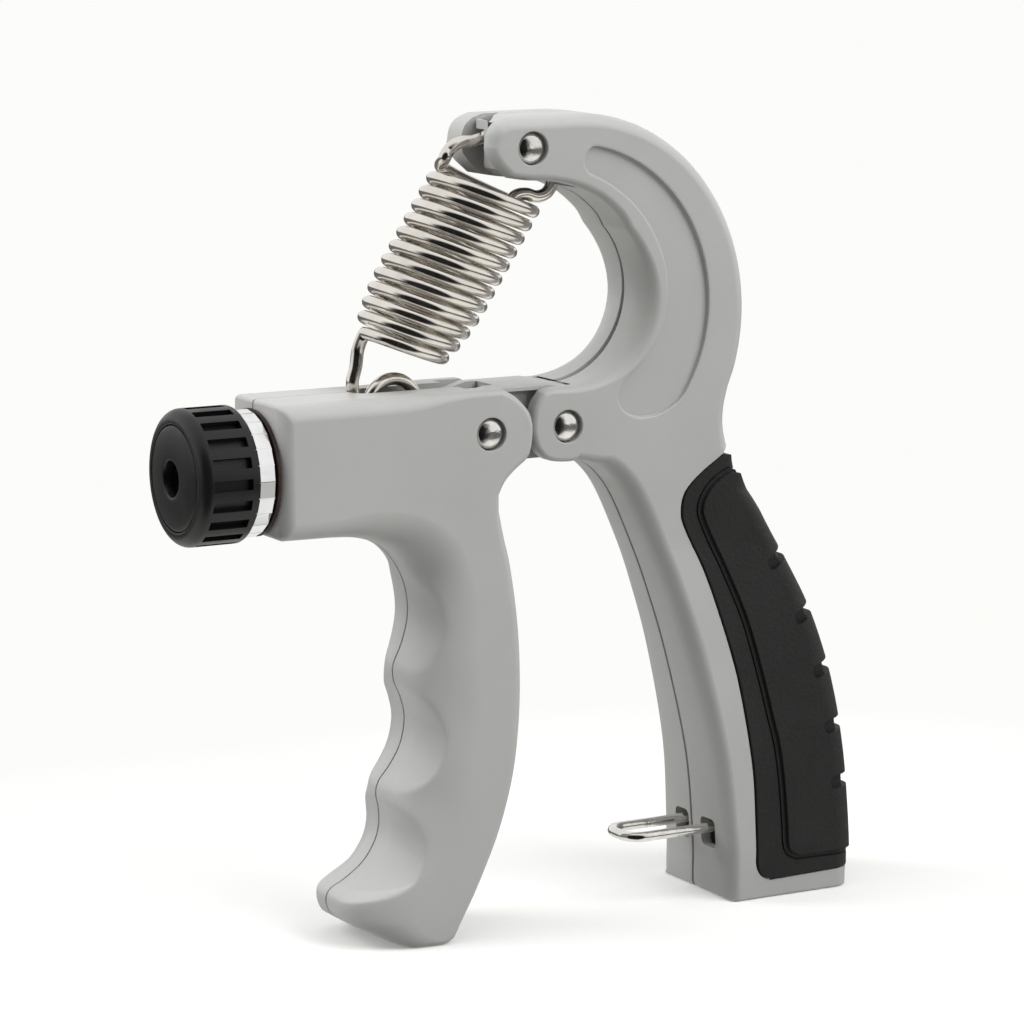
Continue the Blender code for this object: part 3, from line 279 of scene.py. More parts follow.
def turned(name, profile, axis, centre, material=None, sides=96, hollow=False):
    """A turned solid from (distance along the axis, radius) points, which end at radius 0 unless hollow."""
    points = []
    rings = []
    for along, radius in profile:
        if radius == 0:
            rings.append([len(points)] * sides)
            points.append((along, 0.0, 0.0))
            continue
        rings.append(list(range(len(points), len(points) + sides)))
        for i in range(sides):
            angle = 2 * math.pi * i / sides
            points.append((along, radius * math.cos(angle), radius * math.sin(angle)))
    faces = []
    for low, high in zip(rings, rings[1:] + (rings[:1] if hollow else [])):
        for i in range(sides):
            j = (i + 1) % sides
            faces.append(tuple(dict.fromkeys((low[i], low[j], high[j], high[i]))))
    if axis == "X":
        placed = [(centre[0] + a, centre[1] + u, centre[2] + v) for a, u, v in points]
    else:
        placed = [(centre[0] + u, centre[1] + a, centre[2] + v) for a, u, v in points]
    return mesh_object(name, placed, faces, material)


def bore(name, centre, radius, low_y=-OUTSIDE, high_y=OUTSIDE, sides=48):
    profile = [(low_y, 0), (low_y, radius), (high_y, radius), (high_y, 0)]
    return turned(name, profile, "Y", (centre[0], 0.0, centre[1]), None, sides)


def settle(thing):
    """Makes the object's modifiers part of a plain mesh."""
    shaped = thing.evaluated_get(bpy.context.evaluated_depsgraph_get())
    mesh = bpy.data.meshes.new_from_object(shaped)
    thing.modifiers.clear()
    if thing.type == "CURVE":
        name = thing.name
        bpy.data.objects.remove(thing)
        return new_object(name, mesh)
    old = thing.data
    thing.data = mesh
    bpy.data.meshes.remove(old)
    return thing


def carve(thing, others, operation="DIFFERENCE"):
    """Takes the other solids out of the solid, or joins them to it, and removes them."""
    for other in others:
        modifier = thing.modifiers.new("cut", "BOOLEAN")
        modifier.operation = operation
        modifier.solver = "MANIFOLD"
        modifier.object = other
    bpy.context.view_layer.update()
    settle(thing)
    for other in others:
        bpy.data.objects.remove(other)


def polish(thing, angle=32, bevel=0.0):
    """Smooth shading with sharp edges past an angle, and flat faces that stay flat."""
    thing.data.shade_smooth()
    if bevel:
        modifier = thing.modifiers.new("edges", "BEVEL")
        modifier.width = bevel * MM
        modifier.segments = 2
        modifier.limit_method = "ANGLE"
        modifier.angle_limit = math.radians(40)
        modifier.harden_normals = True
    thing.data.set_sharp_from_angle(angle=math.radians(angle))
    modifier = thing.modifiers.new("flats", "WEIGHTED_NORMAL")
    modifier.keep_sharp = True
    modifier.mode = "FACE_AREA_WITH_ANGLE"


def hand_over(thing, body, slot, *nodes):
    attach(thing, body)
    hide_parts(*nodes)


# Node trees

def feed(node, inputs):
    """Fills inputs: a node gives its first output, a socket is linked, and anything else is the value."""
    for key, value in inputs.items():
        if isinstance(value, bpy.types.Node):
            value = value.outputs[0]
        if isinstance(value, bpy.types.NodeSocket):
            node.id_data.links.new(value, node.inputs[key])
        else:
            node.inputs[key].default_value = value


def add(tree, kind, inputs=None, **settings):
    """A new node with its settings and its inputs."""
    node = tree.nodes.new(kind)
    for name, value in settings.items():
        setattr(node, name, value)
    feed(node, inputs or {})
    return node


def geometry_tree(name, inputs, build):
    """A tree that ends by realising its instances and setting the material, and its inputs' identifiers."""
    tree = bpy.data.node_groups.new(name, "GeometryNodeTree")
    tree.interface.new_socket("Geometry", in_out="OUTPUT", socket_type="NodeSocketGeometry")
    ids = {}
    for label, kind in (("Geometry", "Geometry"), *inputs, ("Material", "Material")):
        ids[label] = tree.interface.new_socket(label, in_out="INPUT", socket_type="NodeSocket" + kind).identifier
    start = add(tree, "NodeGroupInput").outputs
    realize = add(tree, "GeometryNodeRealizeInstances", {"Geometry": build(tree, start)})
    painted = add(tree, "GeometryNodeSetMaterial", {"Geometry": realize, "Material": start["Material"]})
    add(tree, "NodeGroupOutput", {"Geometry": painted})
    return tree, ids


def swept_wire(tree, start):
    """A round wire along the object's own curve."""
    ring = add(tree, "GeometryNodeCurvePrimitiveCircle",
               {"Radius": start["Wire Radius"], "Resolution": start["Sides"]})
    sweep = add(tree, "GeometryNodeCurveToMesh",
                {"Curve": start["Geometry"], "Profile Curve": ring, "Fill Caps": True})
    return add(tree, "GeometryNodeSetShadeSmooth", {"Geometry": sweep})


def ring_of_cuts(tree, start):
    """Boxes set round the X axis and cut out of the object."""
    circle = add(tree, "GeometryNodeMeshCircle", {"Vertices": start["Count"], "Radius": start["Distance"]})
    upright = add(tree, "GeometryNodeTransform", {"Geometry": circle, "Rotation": (0.0, math.pi / 2, 0.0)})
    cube = add(tree, "GeometryNodeMeshCube", {"Size": start["Cut Size"]})
    outward = add(tree, "FunctionNodeAlignRotationToVector",
                  {"Vector": add(tree, "GeometryNodeInputPosition")}, axis="Z", pivot_axis="X")
    copies = add(tree, "GeometryNodeInstanceOnPoints", {"Points": upright, "Instance": cube, "Rotation": outward})
    placed = add(tree, "GeometryNodeTransform", {"Geometry": copies, "Translation": start["Centre"]})
    solid = add(tree, "GeometryNodeRealizeInstances", {"Geometry": placed})
    return add(tree, "GeometryNodeMeshBoolean", {"Mesh 1": start["Geometry"], "Mesh 2": solid},
               operation="DIFFERENCE", solver="EXACT")


def copies_on_points(tree, start):
    """The object's points, each with a copy of one part."""
    part = add(tree, "GeometryNodeObjectInfo", {"Object": start["Part"]}, transform_space="ORIGINAL")
    return add(tree, "GeometryNodeInstanceOnPoints",
               {"Points": start["Geometry"], "Instance": part.outputs["Geometry"]})


def grow(thing, made, **values):
    """Runs a node tree on the object and keeps the plain mesh it gives."""
    tree, ids = made
    modifier = thing.modifiers.new(tree.name, "NODES")
    modifier.node_group = tree
    for name, value in values.items():
        modifier[ids[name.replace("_", " ")]] = value
    bpy.context.view_layer.update()
    return settle(thing)


def path_object(name, points):
    data = bpy.data.curves.new(name, "CURVE")
    data.dimensions = "3D"
    data.twist_mode = "MINIMUM"
    spline = data.splines.new("POLY")
    spline.points.add(len(points) - 1)
    for target, (x, y, z) in zip(spline.points, points):
        target.co = (x * MM, y * MM, z * MM, 1.0)
    return new_object(name, data)


# Materials

def spread(tree, value, start, end, low, high, **settings):
    """Maps a value from start and end to low and high."""
    return add(tree, "ShaderNodeMapRange", {
        "Value": value, "From Min": start, "From Max": end, "To Min": low, "To Max": high}, **settings)


class Finish:
    """A Principled material with its nodes on Object coordinates."""

    def __init__(self, name, colour, roughness, metallic=0.0, specular=0.5):
        self.material = bpy.data.materials.new(name)
        self.material.use_nodes = True
        self.tree = self.material.node_tree
        self.shader = self.tree.nodes["Principled BSDF"]
        feed(self.shader, {"Base Color": (*colour, 1.0), "Roughness": roughness, "Metallic": metallic,
                           "Specular IOR Level": specular})
        self.place = add(self.tree, "ShaderNodeTexCoord").outputs["Object"]
        self.colour = colour
        self.height = None

    def noise(self, scale, detail, roughness=0.55, stretch=None):
        place = self.place
        if stretch:
            place = add(self.tree, "ShaderNodeMapping", {"Vector": place, "Scale": stretch})
        return add(self.tree, "ShaderNodeTexNoise",
                   {"Vector": place, "Scale": scale, "Detail": detail, "Roughness": roughness})

    def rough(self, pattern, low, high):
        feed(self.shader, {"Roughness": spread(self.tree, pattern, 0.3, 0.7, low, high)})

    def tint(self, pattern, low, high):
        """Mixes between two tones of the base colour by a pattern."""
        dark, light = [(*[c * share for c in self.colour], 1.0) for share in (low, high)]
        share = spread(self.tree, pattern, 0.3, 0.7, 0.0, 1.0)
        mix = add(self.tree, "ShaderNodeMix", {"A": dark, "B": light, "Factor": share}, data_type="RGBA")
        feed(self.shader, {"Base Color": mix.outputs["Result"]})

    def bump(self, pattern, height, strength=1.0):
        under = {"Normal": self.height} if self.height else {}
        self.height = add(self.tree, "ShaderNodeBump",
                          {"Distance": height * MM, "Strength": strength, "Height": pattern, **under})
        feed(self.shader, {"Normal": self.height})


FINISHES = {
    # name, colour (None where the user sets it), roughness, metallic and specular level,
    # then tint (noise, darkest and lightest share), roughness (noise, low, high) and bumps (noise, height in mm)
    "grey_plastic": ("grey satin plastic", None, 0.4, 0.0, 0.5, ((45, 4), 0.97, 1.03), ((160, 3), 0.36, 0.46),
                     (((2600, 2), 0.012), ((90, 2), 0.02))),
    "black_plastic": ("black satin plastic", (0.006, 0.006, 0.006), 0.34, 0.0, 0.4, ((70, 3), 0.85, 1.2),
                      ((260, 3), 0.3, 0.42), (((2200, 2), 0.015),)),
    "black_rubber": ("matte black rubber", None, 0.62, 0.0, 0.32, ((60, 4), 0.85, 1.2),
                     ((420, 3), 0.52, 0.66), ()),
    "spring_steel": ("bright spring steel", (0.84, 0.80, 0.735), 0.13, 1.0, 0.5, ((130, 4), 0.86, 1.05),
                     ((700, 4), 0.1, 0.2), (((1800, 2), 0.004),)),
    "plated_steel": ("bright plated steel", (0.84, 0.82, 0.78), 0.12, 1.0, 0.5, ((300, 5), 0.82, 1.05),
                     ((900, 4), 0.08, 0.2), (((520, 4), 0.1),)),
    "chrome_collar": ("bright turned collar", (0.93, 0.93, 0.93), 0.12, 1.0, 0.5, ((200, 3), 0.9, 1.03),
                      ((1000, 3, 0.5, (0.05, 1.0, 1.0)), 0.07, 0.16), ()),
    "brass_nut": ("machined brass", (0.58, 0.42, 0.17), 0.28, 1.0, 0.5, ((180, 4), 0.8, 1.1),
                  ((800, 3, 0.5, (0.1, 1.0, 1.0)), 0.2, 0.38), ()),
    "nylon": ("natural nylon", (0.55, 0.53, 0.48), 0.5, 0.0, 0.5, ((120, 3), 0.93, 1.05),
              ((500, 2), 0.42, 0.56), ()),
    "fibre_washer": ("oiled fibre washer", (0.022, 0.010, 0.006), 0.55, 0.0, 0.5, ((500, 5), 0.6, 1.5),
                     ((700, 3), 0.4, 0.7), ()),
}


def make_finishes(settings):
    """Makes every finish, named by the record's slots."""
    chosen = {"grey_plastic": settings.handle_colour, "black_rubber": settings.pad_colour}
    for slot, (name, colour, roughness, metallic, specular, tint, rough, bumps) in FINISHES.items():
        finish = Finish(name, colour or chosen[slot], roughness, metallic, specular)
        finish.tint(finish.noise(*tint[0]), *tint[1:])
        finish.rough(finish.noise(*rough[0]), *rough[1:])
        for pattern, height in bumps:
            finish.bump(finish.noise(*pattern), height)
        if slot == "black_rubber":
            grain = add(finish.tree, "ShaderNodeTexVoronoi", {"Vector": finish.place, "Scale": 1300})
            finish.bump(grain, 0.07, 0.9)


def finish_of(slot):
    return bpy.data.materials[FINISHES[slot][0]]


# Half a handle: rim at the join, face at the side, and the rounding between them

def half_shell(name, stations, half_at, side, cap_pieces=None, steps=8, scallops=None, gap=JOIN_GAP):
    """Stations are (rim x, rim z, face x, face z, depth of the rounding, how far a scallop cuts in there)."""
    join = PART_Y + side * gap / 2
    rim = [(s[0], s[1]) for s in stations]
    rows = []
    for back, out in ((0.22, 0.0), (0.07, 0.07), (0.0, 0.22)):
        rows.append([(x, join + side * out, z) for x, z in inset(rim, back)])
    for sine, cosine in quarter(steps):
        pull = 1 - cosine
        row = []
        for rim_x, rim_z, face_x, face_z, depth, cut in stations:
            half = half_at(face_x, face_z, side) - depth * (1 - sine)
            whole_x = rim_x - cut
            x = whole_x + (face_x - whole_x) * pull
            z = rim_z + (face_z - rim_z) * pull
            if scallops:
                x += scallops(x, half, z, rim_z)
            row.append((x, side * half, z))
        rows.append(row)
    return loft(name, rows, finish_of("grey_plastic"), cap_pieces)


def palm_half(x, z, side):
    """Half the palm handle's thickness, wider from the flare down to the foot."""
    share = (FLARE_Z[1] - z) / (FLARE_Z[1] - FLARE_Z[0])
    return ARM_HALF + (FOOT_HALF[side] - ARM_HALF) * min(max(share, 0.0), 1.0)


def finger_half(x, z, side):
    """Thicker towards the knob, most of all on the near side, and towards the heel."""
    along = FINGER_PIVOT[0] + 9.3 - x
    return LUG_HALF[side] + BARREL_SPREAD[side] * along + GRIP_SPREAD * (FINGER_PIVOT[1] - z)


NOSE_FRONT = [(-9.1, 0.2), (-8.7, 3.0), (-7.2, 4.9), (-4.6, 5.9)]
NOSE_ROOF = [
    (18.9, -13.3), (15.6, -10.4), (12.9, -8.8), (9.5, -7.4), (4.5, -6.3), (-0.8, -5.9), (-4.6, -5.3),
]
NOSE_CHIN = [(-7.1, -3.2), (-8.6, -1.4)]
PALM_LUG = [
    (2.6, -6.7), (-0.6, -6.7), (-3.9, -6.1), (-6.1, -4.3), (-7.2, -1.6), (-7.3, 1.4), (-6.7, 4.4), (-5.0, 6.8),
]
NECK = [(-12.2, 100.2), (-13.1, 96.6), (-13.3, 93.0), (-12.7, 89.6)]
BACK = [
    (-11.9, 87.6), (-8.4, 81.8), (-3.6, 74.0), (-1.3, 70.0), (4.0, 60.6), (9.3, 47.2),
    (12.4, 33.1), (13.6, 21.8), (13.95, 10.0), (13.9, 4.0),
]
INNER = [
    (-14.4, 3.2), (-14.5, 10.0), (-16.2, 27.5), (-21.0, 47.5), (-25.6, 61.5),
    (-29.0, 70.0), (-33.6, 79.8), (-37.4, 84.8), (-41.0, 87.2),
]


def palm_stations(settings):
    """The stations and the indices that split the side face where the flare starts and ends."""
    edge = settings.edge_round / MM
    throat_in = settings.throat_round / MM
    throat = arc(THROAT, THROAT_R, -88, 42, 44)
    swell = [ramp(i, 0, 18, 0, 1) * ramp(i, 43, 24, 0, 1) for i in range(44)]
    inner = curve(INNER, 7)
    # points of the rim, how far in the rounding reaches from them, and its depth
    stretches = [
        (curve(about(SPRING_PIN, NOSE_FRONT), 4) + [(SPRING_PIN[0] - 1.3, ARM_TOP_Z - 0.03)], edge, edge),
        (arc(ARM_CENTRE, ARM_OUTER_R, 92, -18, 64, ARM_OUTER_RISE), edge, edge * 1.2),
        (curve(NECK, 6), edge, edge * 1.2),
        (curve(BACK, 6), edge, edge),
        ([(13.7, 2.6), (13.2, 1.4), (12.3, 0.5), (11.2, 0.1), (10.0, 0.0), (-11.3, 0.0), (-13.3, 0.0), (-14.0, 0.3),
          (-14.35, 1.0)], SOLE_EDGE, SOLE_EDGE),
        (inner, [ramp(z, 10, 50, edge * 0.85, edge * 1.15) for x, z in inner],
         [ramp(z, 10, 50, edge * 1.15, edge * 1.8) for x, z in inner]),
        (curve(about(PALM_PIVOT, PALM_LUG), 5), 1.0, 1.1),
        ([(THROAT[0] - 3.6, THROAT[1] - THROAT_R)], 1.2, 1.4),
        (throat[:-1], [1.4 + (throat_in - 1.4) * share for share in swell],
         [1.8 + (throat_in * 2.1 - 1.8) * share for share in swell]),
        (curve(throat[-1:] + about(SPRING_PIN, NOSE_ROOF), 6), 1.4, 1.8),
        (about(SPRING_PIN, NOSE_CHIN), 1.6, 1.8),
    ]
    rim = []
    edges = []
    depths = []
    for points, reach, depth in stretches:
        rim += points
        edges += reach if isinstance(reach, list) else [reach] * len(points)
        depths += depth if isinstance(depth, list) else [depth] * len(points)
    edges = eased(edges, 5)
    depths = eased(depths, 5)
    flare = [i for i, (x, z) in enumerate(rim) if min(abs(z - FLARE_Z[0]), abs(z - FLARE_Z[1])) < 1e-6]
    stations = []
    for i, ((x, z), normal) in enumerate(zip(rim, inward(rim))):
        face = (x + edges[i] / normal.x, z) if i in flare else (x + normal.x * edges[i], z + normal.y * edges[i])
        depth = depths[i]
        if x > FOOT_FACE_X + 0.1 and z < FLARE_Z[0]:
            face = (FOOT_FACE_X, max(z, SOLE_EDGE))
            depth = ramp(z, 0, 2.5, 0.6, CORNER_R)
        elif x < -12.0 and z < 12:
            face = (FOOT_INNER_X + edge * 0.85, max(z, SOLE_EDGE))
            depth = ramp(z, 0, 1.2, 0.6, edge * 1.15)
        elif x > FOOT_FACE_X + 0.1 and z < 20:
            face = (face[0] + (FOOT_FACE_X - face[0]) * ramp(z, 20, FLARE_Z[0], 0, 1), face[1])
            depth = ramp(z, 20, FLARE_Z[0], depth, CORNER_R)
        stations.append((x, z, *face, depth, 0.0))
    back_high, back_low, inner_low, inner_high = flare
    cap_pieces = [
        list(range(inner_high, len(rim))) + list(range(back_high + 1)),
        list(range(back_high, back_low + 1)) + list(range(inner_low, inner_high + 1)),
        list(range(back_low, inner_low + 1)),
    ]
    return stations, cap_pieces


GRIP_FRONT = [
    # rim x, rim z, face x, face z, depth of the rounding, how far the scallop cuts in
    (-98.0, 78.4, -97.0, 82.2, 3.8, 0.0), (-92.5, 77.7, -89.5, 82.9, 5.2, 0.0),
    (-87.6, 76.2, -82.4, 82.0, 7.0, 0.0), (-83.0, 74.0, -77.0, 79.6, 8.4, 0.0),
    (-79.9, 70.3, -72.4, 75.4, 8.6, 0.0), (-78.1, 66.4, -70.4, 70.8, 8.6, 1.2),
    (-77.4, 62.4, -69.3, 66.6, 8.6, 2.2), (-77.7, 58.9, -68.9, 63.4, 8.6, 2.2),
    (-78.9, 54.9, -68.8, 60.0, 8.6, 1.3), (-80.5, 51.3, -68.8, 57.0, 8.6, 0.1),
    (-80.4, 48.3, -68.6, 53.8, 8.6, 0.5), (-79.0, 45.0, -68.4, 50.4, 8.6, 2.4),
    (-78.2, 41.0, -68.4, 46.6, 8.6, 3.9), (-79.0, 36.5, -68.7, 42.4, 8.6, 3.9),
    (-81.0, 32.8, -69.3, 38.8, 8.6, 2.6), (-83.6, 29.6, -69.9, 35.6, 8.6, 0.5),
    (-84.3, 27.2, -70.3, 32.8, 8.6, 0.0), (-83.8, 24.4, -70.9, 29.8, 8.6, 1.6),
    (-83.7, 21.2, -71.7, 26.6, 8.6, 3.6), (-84.7, 17.8, -73.2, 23.0, 8.6, 4.8),
    (-87.2, 14.3, -75.0, 19.2, 8.6, 4.2), (-90.8, 11.7, -77.4, 15.8, 8.6, 2.2),
    (-93.7, 10.2, -79.6, 13.2, 8.6, 0.5), (-94.8, 8.6, -81.2, 10.8, 8.6, 0.0),
    (-94.6, 6.6, -82.4, 8.4, 8.6, 0.0), (-93.2, 4.6, -83.0, 6.2, 7.4, 0.0),
    (-90.4, 3.1, -82.6, 4.5, 5.6, 0.0), (-86.6, 1.2, -81.0, 2.6, 3.6, 0.0),
    (-83.0, 0.0, -79.2, 1.6, 2.4, 0.0), (-80.0, 0.0, -77.9, 1.1, 1.5, 0.0),
]
GRIP_BACK = [
    (-74.6, 1.0), (-72.3, 5.0), (-69.4, 10.0), (-64.5, 20.0), (-61.2, 30.0), (-59.6, 40.0), (-59.2, 50.0),
    (-59.7, 60.0), (-61.1, 70.0), (-62.4, 75.5), (-63.6, 80.6),
]
FINGER_LUG = [
    (1.9, -11.6), (3.2, -9.2), (5.3, -7.2), (7.9, -5.3), (8.9, -3.2), (9.3, 0.0), (9.1, 1.8), (8.2, 3.9),
    (5.5, 6.6), (2.4, 8.2),
]


def finger_edge(z, edge):
    """The rounding of the finger handle's back: small at the heel and round the lug."""
    return min(ramp(z, 4, 45, edge * 0.4, edge * 0.85), ramp(z, 74, 88, edge * 0.85, edge * 0.5))


def finger_stations(settings):
    """The stations of the finger handle, and those of its front alone."""
    edge = settings.edge_round / MM
    front = [(x, max(z, 0.0), *rest) for x, z, *rest in curve(GRIP_FRONT, 7)]
    plain = [(-77.2, 0.0)] + curve([(-77.2, 0.0), (-75.9, 0.3), GRIP_BACK[0]], 3)[1:-1] + curve(GRIP_BACK, 6)
    plain += curve(about(FINGER_PIVOT, FINGER_LUG), 5)
    plain += [(FINGER_PIVOT[0] - 1.0, BARREL_TOP_Z)]
    rim = [(s[0], s[1]) for s in front] + plain + [(-80.0, BARREL_TOP_Z)]
    stations = list(front)
    for (x, z), normal in list(zip(rim, inward(rim)))[len(front):-1]:
        small = finger_edge(z, edge)
        stations.append((x, z, x + normal.x * small, z + normal.y * small, small * 1.1, 0.0))
    top_edge = 3.2
    top_start_x, top_run = -70.0, 36.0
    for i in range(9):
        x = top_start_x - top_run * i / 8
        reach = ramp(i, 0, 3, edge * 0.5, top_edge)
        stations.append((x, BARREL_TOP_Z, x, BARREL_TOP_Z - reach, reach, 0.0))
    end = BARREL_END_X
    round_r = 0.8
    face = end + 2.3
    for level, start, lean in ((BARREL_TOP_Z, 90, 1.0), (BARREL_BOTTOM_Z, 180, -1.0)):
        centre = (end + round_r, level - lean * round_r)
        for i, (x, z) in enumerate(arc(centre, round_r, start, start + 90, 5)):
            share = i / 5 if lean > 0 else 1 - i / 5
            stations.append((x, z, face + 0.5 * (1 - share), level - lean * (top_edge + 0.3 * share), top_edge, 0.0))
        if lean > 0:
            stations.append((end, SCREW_Z, face, SCREW_Z, top_edge, 0.0))
    low, first = stations[-1], stations[0]
    for i in range(1, 8):
        stations.append(tuple(a + (b - a) * i / 8 for a, b in zip(low, first)))
    return stations, front


def scallop_cuts(front):
    """A function that says how far in the finger scallops move a point of the rounding."""
    heights = sorted((station[1], station[0]) for station in front)
    rise, bow_r, soft = 0.19, 14.5, 0.7

    def cut(x, half, z, rim_z):
        out = max(half - 2.0, 0.0)
        level = z + rise * out
        i = min(max(bisect.bisect_left(heights, (level,)), 1), len(heights) - 1)
        (low_z, low_x), (high_z, high_x) = heights[i - 1], heights[i]
        share = min(max((level - low_z) / max(high_z - low_z, 0.001), 0.0), 1.0)
        past = low_x + (high_x - low_x) * share + out**2 / (2 * bow_r) - x
        blended = max(past, 0.0) if abs(past) > soft else (past + soft)**2 / (4 * soft)
        fade = min((72 - rim_z) / 4, (rim_z - 9) / 1.5)
        return blended * min(max(fade, 0.0), 1.0)

    return cut


# What the shells are cut by

def rivet_cuts(name, centre, half, side):
    """The hole of a rivet and the seat of its head, with a small lip."""
    seat = half - SEAT_DEPTH
    lip_r = SEAT_R + 0.15
    profile = [(seat, 0), (seat, SEAT_R), (half - 0.15, SEAT_R), (half, lip_r), (half + 4, lip_r), (half + 4, 0)]
    mirrored = [(side * along, radius) for along, radius in profile]
    head = turned(name + " seat", mirrored, "Y", (centre[0], 0.0, centre[1]), None, 64)
    return [bore(name + " bore", centre, RIVET_HOLE_R), head]


def screw_cuts(name, node, half):
    """The recess over a shell screw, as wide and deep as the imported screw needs."""
    low, high = corner(node, 0), corner(node, 1)
    centre = ((low.x + high.x) / 2, (low.z + high.z) / 2)
    return [bore(name + " shank", centre, 1.6, low.y - 1, half - 2.9, 32),
            bore(name + " recess", centre, (high.x - low.x) / 2 + CLEARANCE, half - 3.2, half + 5)]


def crescent_cut(name, side, depth):
    """A crescent recess whose lip and floor edge are rounded."""
    centre = (ARM_CENTRE[0] - 3.0, ARM_CENTRE[1] + 1.9)
    outline = arc(centre, 30.9, 72, -34, 60)
    tail = [(23.5, 2.8), (19.5, 0.9), (15.3, 0.7), (11.9, 2.4), (10.9, 5.4), (12.3, 8.0)]
    outline += curve(outline[-1:] + about(PALM_PIVOT, tail), 4)[1:]
    inside = [(16.2, -13.1), (19.6, -8.3), (21.3, -2.3), (20.9, 4.2), (18.4, 10.5), (14.0, 16.3), (8.6, 20.4)]
    head = [(4.2, 22.5), (3.2, 24.2), (3.6, 26.1), (5.3, 27.4)]
    outline += curve(about(THROAT, inside + head[:1]), 6)
    outline += curve(about(THROAT, head) + outline[:1], 4)[1:-1]
    rows = []
    # how far the outline is grown, and the level over the side in mm or under it as a share of the depth
    for grown, level in ((0.5, 3.0), (0.5, 0.0), (0.28, -0.02), (0.1, -0.1), (0.02, -0.25), (0.0, -0.82),
                         (-0.08, -0.95), (-0.24, -1.0)):
        ring = inset(outline, -grown)
        y = side * (ARM_HALF + (level * depth if level < 0 else level))
        rows.append([(x, y, z) for x, z in ring])
    return loft(name, rows)


def parting_gap(name, path, widest):
    """Cuts the near half back from the parting line along a path, more and more towards the path's end."""
    rows = []
    for i, (here, way) in enumerate(zip(path, ways_along(path))):
        join = PART_Y - PALM_JOIN_GAP / 2 - 0.05 - widest * (i / (len(path) - 1))**1.5
        ring = [(-3.0, join), (3.2, join), (3.2, 2.0), (-3.0, 2.0)]
        rows.append([(here[0] - way.y * r, y, here[1] + way.x * r) for r, y in ring])
    return loft(name, rows)


def nose_cuts(name):
    """Room for the hanger under a thin roof, and the opening of that roof in front of the slot."""
    x, z = SPRING_PIN
    room = box(name + " hanger room", (x - 29, -6.9, z - 10), (x + 10.7, 1.9, z + 4.9))
    plan = about((x, 0.0), [(-29, 1.9), (-1.2, 1.9), (-6.4, -4.9), (-9.5, -6.9), (-29, -6.9)])
    return [room, column(name + " nose opening", plan, z + 4, z + 20)]


def link_outline(grown=0.0):
    """The link seen from the side, grown for the room it lies in."""
    high_z = FINGER_PIVOT[1] + 8.0
    low_z = FINGER_PIVOT[1] - 6.3
    right_x = PALM_PIVOT[0] + 10.5
    outline = [(FINGER_PIVOT[0] + 2.0, high_z)] + arc(FINGER_PIVOT, 7.2, 100, 240, 30)
    outline += [(FINGER_PIVOT[0] + 1.0, low_z), (right_x - 1.5, low_z), (right_x, low_z + 1.5)]
    outline += [(right_x, FINGER_PIVOT[1] + 2.0), (PALM_PIVOT[0] + 3.0, high_z - 0.9), (PALM_PIVOT[0] - 2.4, high_z)]
    return inset(outline, -grown)


BAIL_Z = middle("locking_bail").z
BAIL_PIVOT_X = FOOT_INNER_X + 5.0
BAIL_SLOTS = ((-8.1, -2.8), (1.6, 6.5))
BAIL_SLOT_Z = (9.4, 15.2)


def bail_cuts(name):
    """Room for the bail's stubs, its two slots and its bore."""
    low = corner("locking_bail", 0).y - CLEARANCE
    high = corner("locking_bail", 1).y + CLEARANCE
    cuts = [box(name + " room", (FOOT_INNER_X + 2.0, low + 2, BAIL_Z - 9), (FOOT_INNER_X + 16, high - 2, BAIL_Z + 9))]
    low_z, high_z = BAIL_SLOT_Z
    r = 1.2
    for low_y, high_y in BAIL_SLOTS:
        ring = arc((low_y + r, low_z + r), r, 180, 270, 5) + arc((high_y - r, low_z + r), r, 270, 360, 5)
        ring += arc((high_y - r, high_z - r), r, 0, 90, 5) + arc((low_y + r, high_z - r), r, 90, 180, 5)
        rows = [[(x, y, z) for y, z in ring] for x in (FOOT_INNER_X - 4, FOOT_INNER_X + 3)]
        cuts.append(loft(name + " slot", rows))
    cuts.append(bore(name + " bore", (BAIL_PIVOT_X, BAIL_Z), 1.3, low, high, 32))
    return cuts


# The rubber grip

RUBBER_BORDER = [
    # border x and z on the side face, back x and z
    (-14.2, 87.4, -12.8, 87.2), (-19.1, 84.2, -10.9, 84.2), (-22.6, 80.8, -7.6, 79.4), (-23.5, 77.1, -5.6, 76.2),
    (-22.7, 73.8, -3.8, 73.1), (-18.7, 65.7, 0.9, 65.0), (-15.4, 56.6, 5.6, 55.8), (-12.2, 46.0, 9.1, 45.9),
    (-10.5, 37.6, 11.1, 37.6), (-9.4, 30.5, 12.2, 30.5), (-8.7, 23.6, 12.9, 23.6), (-8.6, 15.0, 13.3, 15.0),
    (-8.6, 9.4, 13.4, 9.8), (-8.6, 7.2, 13.5, 7.8), (-8.1, 5.5, 13.5, 6.4), (-7.0, 4.3, 13.5, 5.2),
    (-5.4, 3.8, 13.5, 4.2),
]
PAD_BORDER = [
    (-12.9, 83.9, -11.2, 83.6), (-15.6, 82.6, -9.8, 81.9), (-17.9, 80.5, -8.0, 79.6), (-19.2, 77.6, -5.6, 76.2),
    (-18.4, 74.4, -3.8, 73.1), (-14.0, 65.4, 0.9, 65.0), (-9.6, 55.0, 5.6, 55.8), (-6.4, 43.6, 9.1, 45.9),
    (-4.6, 36.0, 11.1, 37.6), (-3.2, 30.0, 12.2, 30.5), (-2.4, 23.0, 12.9, 23.6), (-2.0, 14.6, 13.3, 15.0),
    (-1.9, 10.6, 13.4, 10.4), (-1.3, 9.0, 13.45, 8.9), (0.6, 8.0, 13.5, 7.9),
]
NOTCH_TOP_Z = 67.2
NOTCH_STEP = 11.5
NOTCH_DEPTH = 0.95
RUBBER_THICK = 2.2
RUBBER_LIFT = 0.3
BACK_LIFT = 0.4


